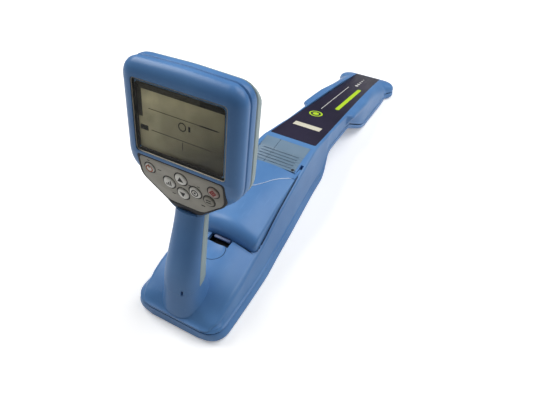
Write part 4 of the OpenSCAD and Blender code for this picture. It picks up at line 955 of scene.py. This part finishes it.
black_ink = printing_ink("black_ink", tone(14, 14, 13), tone(10, 10, 10), tone(24, 24, 23), 0.6)
dark_ink = printing_ink("dark_ink", tone(44, 42, 38), tone(36, 34, 31), tone(60, 58, 54))
faint_ink_and_shade = printing_ink("faint_ink_and_shade", tone(74, 71, 60), tone(62, 59, 50), tone(84, 81, 70))
printed("lcd_dark_marks", [
    flat_bar((3 * MM, 9 * MM), (74 * MM, 0.6 * MM), 0.2 * MM),
    flat_bar((29 * MM, 9 * MM), (18 * MM, 1.3 * MM), 0.3 * MM),
    flat_disc((2 * MM, 2 * MM), 4.2 * MM, 3.2 * MM),
    flat_bar((9.5 * MM, 2 * MM), (2.2 * MM, 5 * MM), 0.3 * MM),
    flat_bar((34 * MM, 30.5 * MM), (27 * MM, 9 * MM)),
    flat_bar((-40 * MM, -11 * MM), (9 * MM, 5 * MM), 0.5 * MM),
], lcd_axes, black_ink, "lcd", "casing")
# The first two bars are painted shadow of the bezel across the top and down the left of the panel; the
# others are half faded segments.
printed("lcd_faint_marks_and_shade", [
    flat_bar((-13.4 * MM, 30.5 * MM), (68 * MM, 9 * MM)),
    flat_bar((-43.5 * MM, 13 * MM), (5 * MM, 27 * MM), 0.3 * MM),
    flat_bar((0, -11.5 * MM), (64 * MM, 0.7 * MM), 0.2 * MM),
    flat_bar((2 * MM, -17 * MM), (0.8 * MM, 8 * MM), 0.2 * MM),
], lcd_axes, faint_ink_and_shade, "lcd", "casing")


# Window border: black ink screen-printed round the edge on the back of the window.
# It hides the edge of the panel, and it is wider on the left and below.
mask_depth = 2.24 * MM
window_axes = face_axes("display_window", head_out, head_up) @ Matrix.Translation((0, 0, -mask_depth))
printed("window_mask", [
    flat_bar((-47.4 * MM, 0), (3.0 * MM, 70 * MM), 0.3 * MM),
    flat_bar((0, -33.6 * MM), (97 * MM, 3.2 * MM), 0.3 * MM),
    flat_bar((48.2 * MM, 0), (1.4 * MM, 70 * MM), 0.3 * MM),
    flat_bar((0, 34.7 * MM), (97 * MM, 1.0 * MM), 0.3 * MM),
], window_axes, black_ink, "window_glass", "casing")


# Display spacer: a thin black moulded frame that keeps the panel off the back of the window.
# It stands on the rim of the panel, and its inner walls show as a dark line.
spacer_h = 1.8 * MM
spacer_w = 0.5 * MM
spacer = [flat_bar((k * 45.9 * MM, 0), (spacer_w, 64.6 * MM), 0, spacer_h) for k in (-1, 1)]
spacer += [flat_bar((0, k * 32.05 * MM), (91.2 * MM, spacer_w), 0, spacer_h) for k in (-1, 1)]
printed("display_spacer", spacer, lcd_axes, black_moulding, "black_plastic", "casing")


# Keypad: a warm grey membrane of moulded rubber with a leathery grain, in a thin black surround.
# Both are clamped under the bezel, and the membrane has a hole for each key.
surround = copy_node("keypad_surround", "black_surround")
bevel_edges(surround, 0.3 * MM)
fit(surround, black_moulding, "black_plastic", "casing", "keypad_surround")
membrane_grey = moulded(
    "membrane_grey", tone(182, 178, 166), tone(140, 136, 126), tone(196, 192, 182),
    0.5, 700.0, 0.05, 0.2,
)
membrane = copy_node("keypad_panel", "grey_membrane")
bevel_edges(membrane, 0.2 * MM)
fit(membrane, membrane_grey, "keypad_grey", "casing", "keypad_panel")


# Keys: seven round moulded caps that press in through the membrane, five white, one red and one grey.
# Each carries a printed sign, and a dark ring round it on the membrane is painted shadow of the gap round
# the key.
def key_plastic(name, light, shade, rubbed_and_highlight, roughness=0.4):
    """Fine satin plastic of a key."""
    return moulded(name, light, shade, rubbed_and_highlight, roughness, 2400.0, 0.01, 0.3)


key_white = key_plastic("key_white", tone(240, 238, 230), tone(230, 227, 218), tone(246, 245, 240), 0.34)
key_red = key_plastic("key_red", tone(190, 168, 158), tone(176, 154, 144), tone(206, 188, 180))
key_grey = key_plastic("key_grey", tone(164, 160, 148), tone(150, 146, 134), tone(184, 180, 170))
rust_ink = printing_ink("rust_ink", tone(172, 92, 58), tone(160, 82, 50), tone(186, 112, 80), 0.44)
red_ink = printing_ink("red_ink", tone(150, 44, 36), tone(138, 38, 32), tone(164, 66, 56), 0.44)
key_signs = {
    "power_key": [
        flat_disc((0, -0.4 * MM), 4.2 * MM, 2.8 * MM),
        flat_bar((0, 2.6 * MM), (1.4 * MM, 4.4 * MM), 0.3 * MM),
    ],
    "upper_key": [flat_disc((0, -0.4 * MM), 4.0 * MM, 1.9 * MM, 3)],
    "left_key": [
        flat_bar((k * 2.3 * MM, (k - 1) * 0.9 * MM), (1.3 * MM, (4.4 + 1.8 * k) * MM), 0.2 * MM)
        for k in (-1, 0, 1)
    ],
    "right_key": [flat_disc((0, 0), 4.0 * MM, 2.7 * MM), flat_disc((0, 0), 1.3 * MM, corners=24)],
    "lower_key": [flat_disc((0, 0.4 * MM), 4.0 * MM, 1.9 * MM, 3, turn=pi)],
    "red_key": [flat_disc((0, 0), 4.2 * MM, 2.5 * MM, 4), flat_disc((0, 0), 1.2 * MM, corners=24)],
    "side_key": [flat_bar((0, k * 1.4 * MM), (6.0 * MM, 1.2 * MM), 0.2 * MM) for k in (-1, 1)],
}
key_out = widest_normal(nodes["keypad_panel"], Vector((0, -1, 0)))
key_up = key_out.cross(Vector((1, 0, 0)))
membrane_axes = face_axes("keypad_panel", key_out, key_up)
membrane_middle_mm = -25.5
shadow_ring_in = 0.3 * MM
shadow_ring_out = 1.5 * MM
membrane_print_and_shadow_marks = [
    flat_bar((x * MM, (y - membrane_middle_mm) * MM), (wide * MM, high * MM), 0.2 * MM)
    for x, y, wide, high in (
        (9.5, -17.5, 3.4, 1.2), (-24.5, -12.5, 4.0, 1.0), (22, -38, 4.4, 1.4),
        (19.5, -15, 3.0, 1.0), (-12, -37, 3.6, 1.0), (-36, -5, 3.0, 1.0),
    )
]
for node, material, ink, slot in (
    ("power_key", key_white, rust_ink, "white_key"), ("upper_key", key_white, dark_ink, "white_key"),
    ("left_key", key_white, dark_ink, "white_key"), ("right_key", key_white, dark_ink, "white_key"),
    ("lower_key", key_white, dark_ink, "white_key"), ("red_key", key_red, red_ink, "red_key"),
    ("side_key", key_grey, dark_ink, "grey_key"),
):
    key = copy_node(node, node.replace("_key", "_cap"))
    bevel_edges(key, 0.5 * MM, 3)
    fit(key, material, slot, node, node)
    sign_axes = face_axes(node, key_out, key_up)
    printed(node.replace("_key", "_sign"), key_signs[node], sign_axes, ink, slot, node)
    low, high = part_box(node)
    spot = membrane_axes.inverted() @ ((low + high) / 2)
    radius = (high.x - low.x) / 2
    # Painted shadow: a dark ring on the membrane round each key.
    membrane_print_and_shadow_marks.append(flat_disc((spot.x, spot.y), radius + shadow_ring_out, radius + shadow_ring_in, 48))
printed("membrane_print_and_shadow", membrane_print_and_shadow_marks, membrane_axes, dark_ink, "keypad_grey", "casing")


# Studio: a white floor that keeps the shadow near the part and whitens out far off.
# A soft lamp stands high on the left, and a broader, stronger one high on the far right.
# The backdrop is white to the camera and gives little light.
backdrop_light = 0.03


def floor_material():
    """White paper whose glow, which only the camera sees, grows with the distance from the part."""
    material, tree, shader = new_material("white_floor")
    place = add_node(tree, "ShaderNodeTexCoord").outputs["Object"]
    paper = add_node(tree, "ShaderNodeTexNoise", {"Scale": 3.0})
    tree.links.new(place, paper.inputs["Vector"])
    tree.links.new(
        mix_colour(tree, paper.outputs["Fac"], tone(250, 250, 250), tone(252, 252, 252)),
        shader.inputs["Base Color"],
    )
    shader.inputs["Roughness"].default_value = 0.9
    shader.inputs["Specular IOR Level"].default_value = 0.1
    shader.inputs["Emission Color"].default_value = (1.0, 1.0, 1.0, 1.0)
    seen = add_node(tree, "ShaderNodeLightPath").outputs["Is Camera Ray"]
    reach = add_node(tree, "ShaderNodeVectorMath", operation="LENGTH")
    tree.links.new(place, reach.inputs[0])
    glow = add_node(tree, "ShaderNodeMath", operation="MULTIPLY")
    tree.links.new(spread(tree, reach.outputs["Value"], 0.9, 3.5, 0.34, 1.0), glow.inputs[0])
    tree.links.new(seen, glow.inputs[1])
    tree.links.new(glow.outputs[0], shader.inputs["Emission Strength"])
    return material


bpy.ops.object.select_all(action="DESELECT")
bpy.ops.mesh.primitive_plane_add(size=24)
floor = new_piece("studio_floor")
floor.data.materials.append(floor_material())


def soft_lamp(name, place, aim, size, power):
    """Square lamp that looks at a place."""
    bpy.ops.object.light_add(type="AREA", location=place)
    lamp = bpy.context.object
    lamp.name = name
    lamp.data.size = size
    lamp.data.energy = power
    lamp.rotation_euler = (Vector(aim) - Vector(place)).to_track_quat("-Z", "Y").to_euler()


soft_lamp("key_lamp", place=(-1.0, -0.15, 1.4), aim=(0, -0.1, 0.12), size=1.0, power=17)
soft_lamp("top_lamp", place=(0.8, 0.55, 1.5), aim=(0, 0, 0.05), size=1.6, power=26)

world = bpy.data.worlds.new("pale_surround")
bpy.context.scene.world = world
world.use_nodes = True
tree = world.node_tree
backdrop = tree.nodes["Background"]
backdrop.inputs["Color"].default_value = (1.0, 1.0, 1.0, 1.0)
seen = add_node(tree, "ShaderNodeLightPath").outputs["Is Camera Ray"]
tree.links.new(spread(tree, seen, 0.0, 1.0, backdrop_light, 1.0), backdrop.inputs["Strength"])


# Camera: the place, lens and roll that were fitted to the photograph.
# It looks down on the part from its near right side, a little tilted.
camera_place = Vector((0.2237, -0.5316, 0.4640))
camera_data = bpy.data.cameras.new("photo_camera")
camera_data.sensor_width = 36.0
camera_data.lens = 30.03
camera = bpy.data.objects.new("photo_camera", camera_data)
bpy.context.scene.collection.objects.link(camera)
ahead = Vector((-0.324, 0.653, -0.6845)).normalized()
level = ahead.cross(Vector((0, 0, 1))).normalized()
upright = level.cross(ahead)
roll = radians(2.5)
right = level * cos(roll) + upright * sin(roll)
top = upright * cos(roll) - level * sin(roll)
camera.matrix_world = axes_on(camera_place, right, top, -ahead)
bpy.context.scene.camera = camera
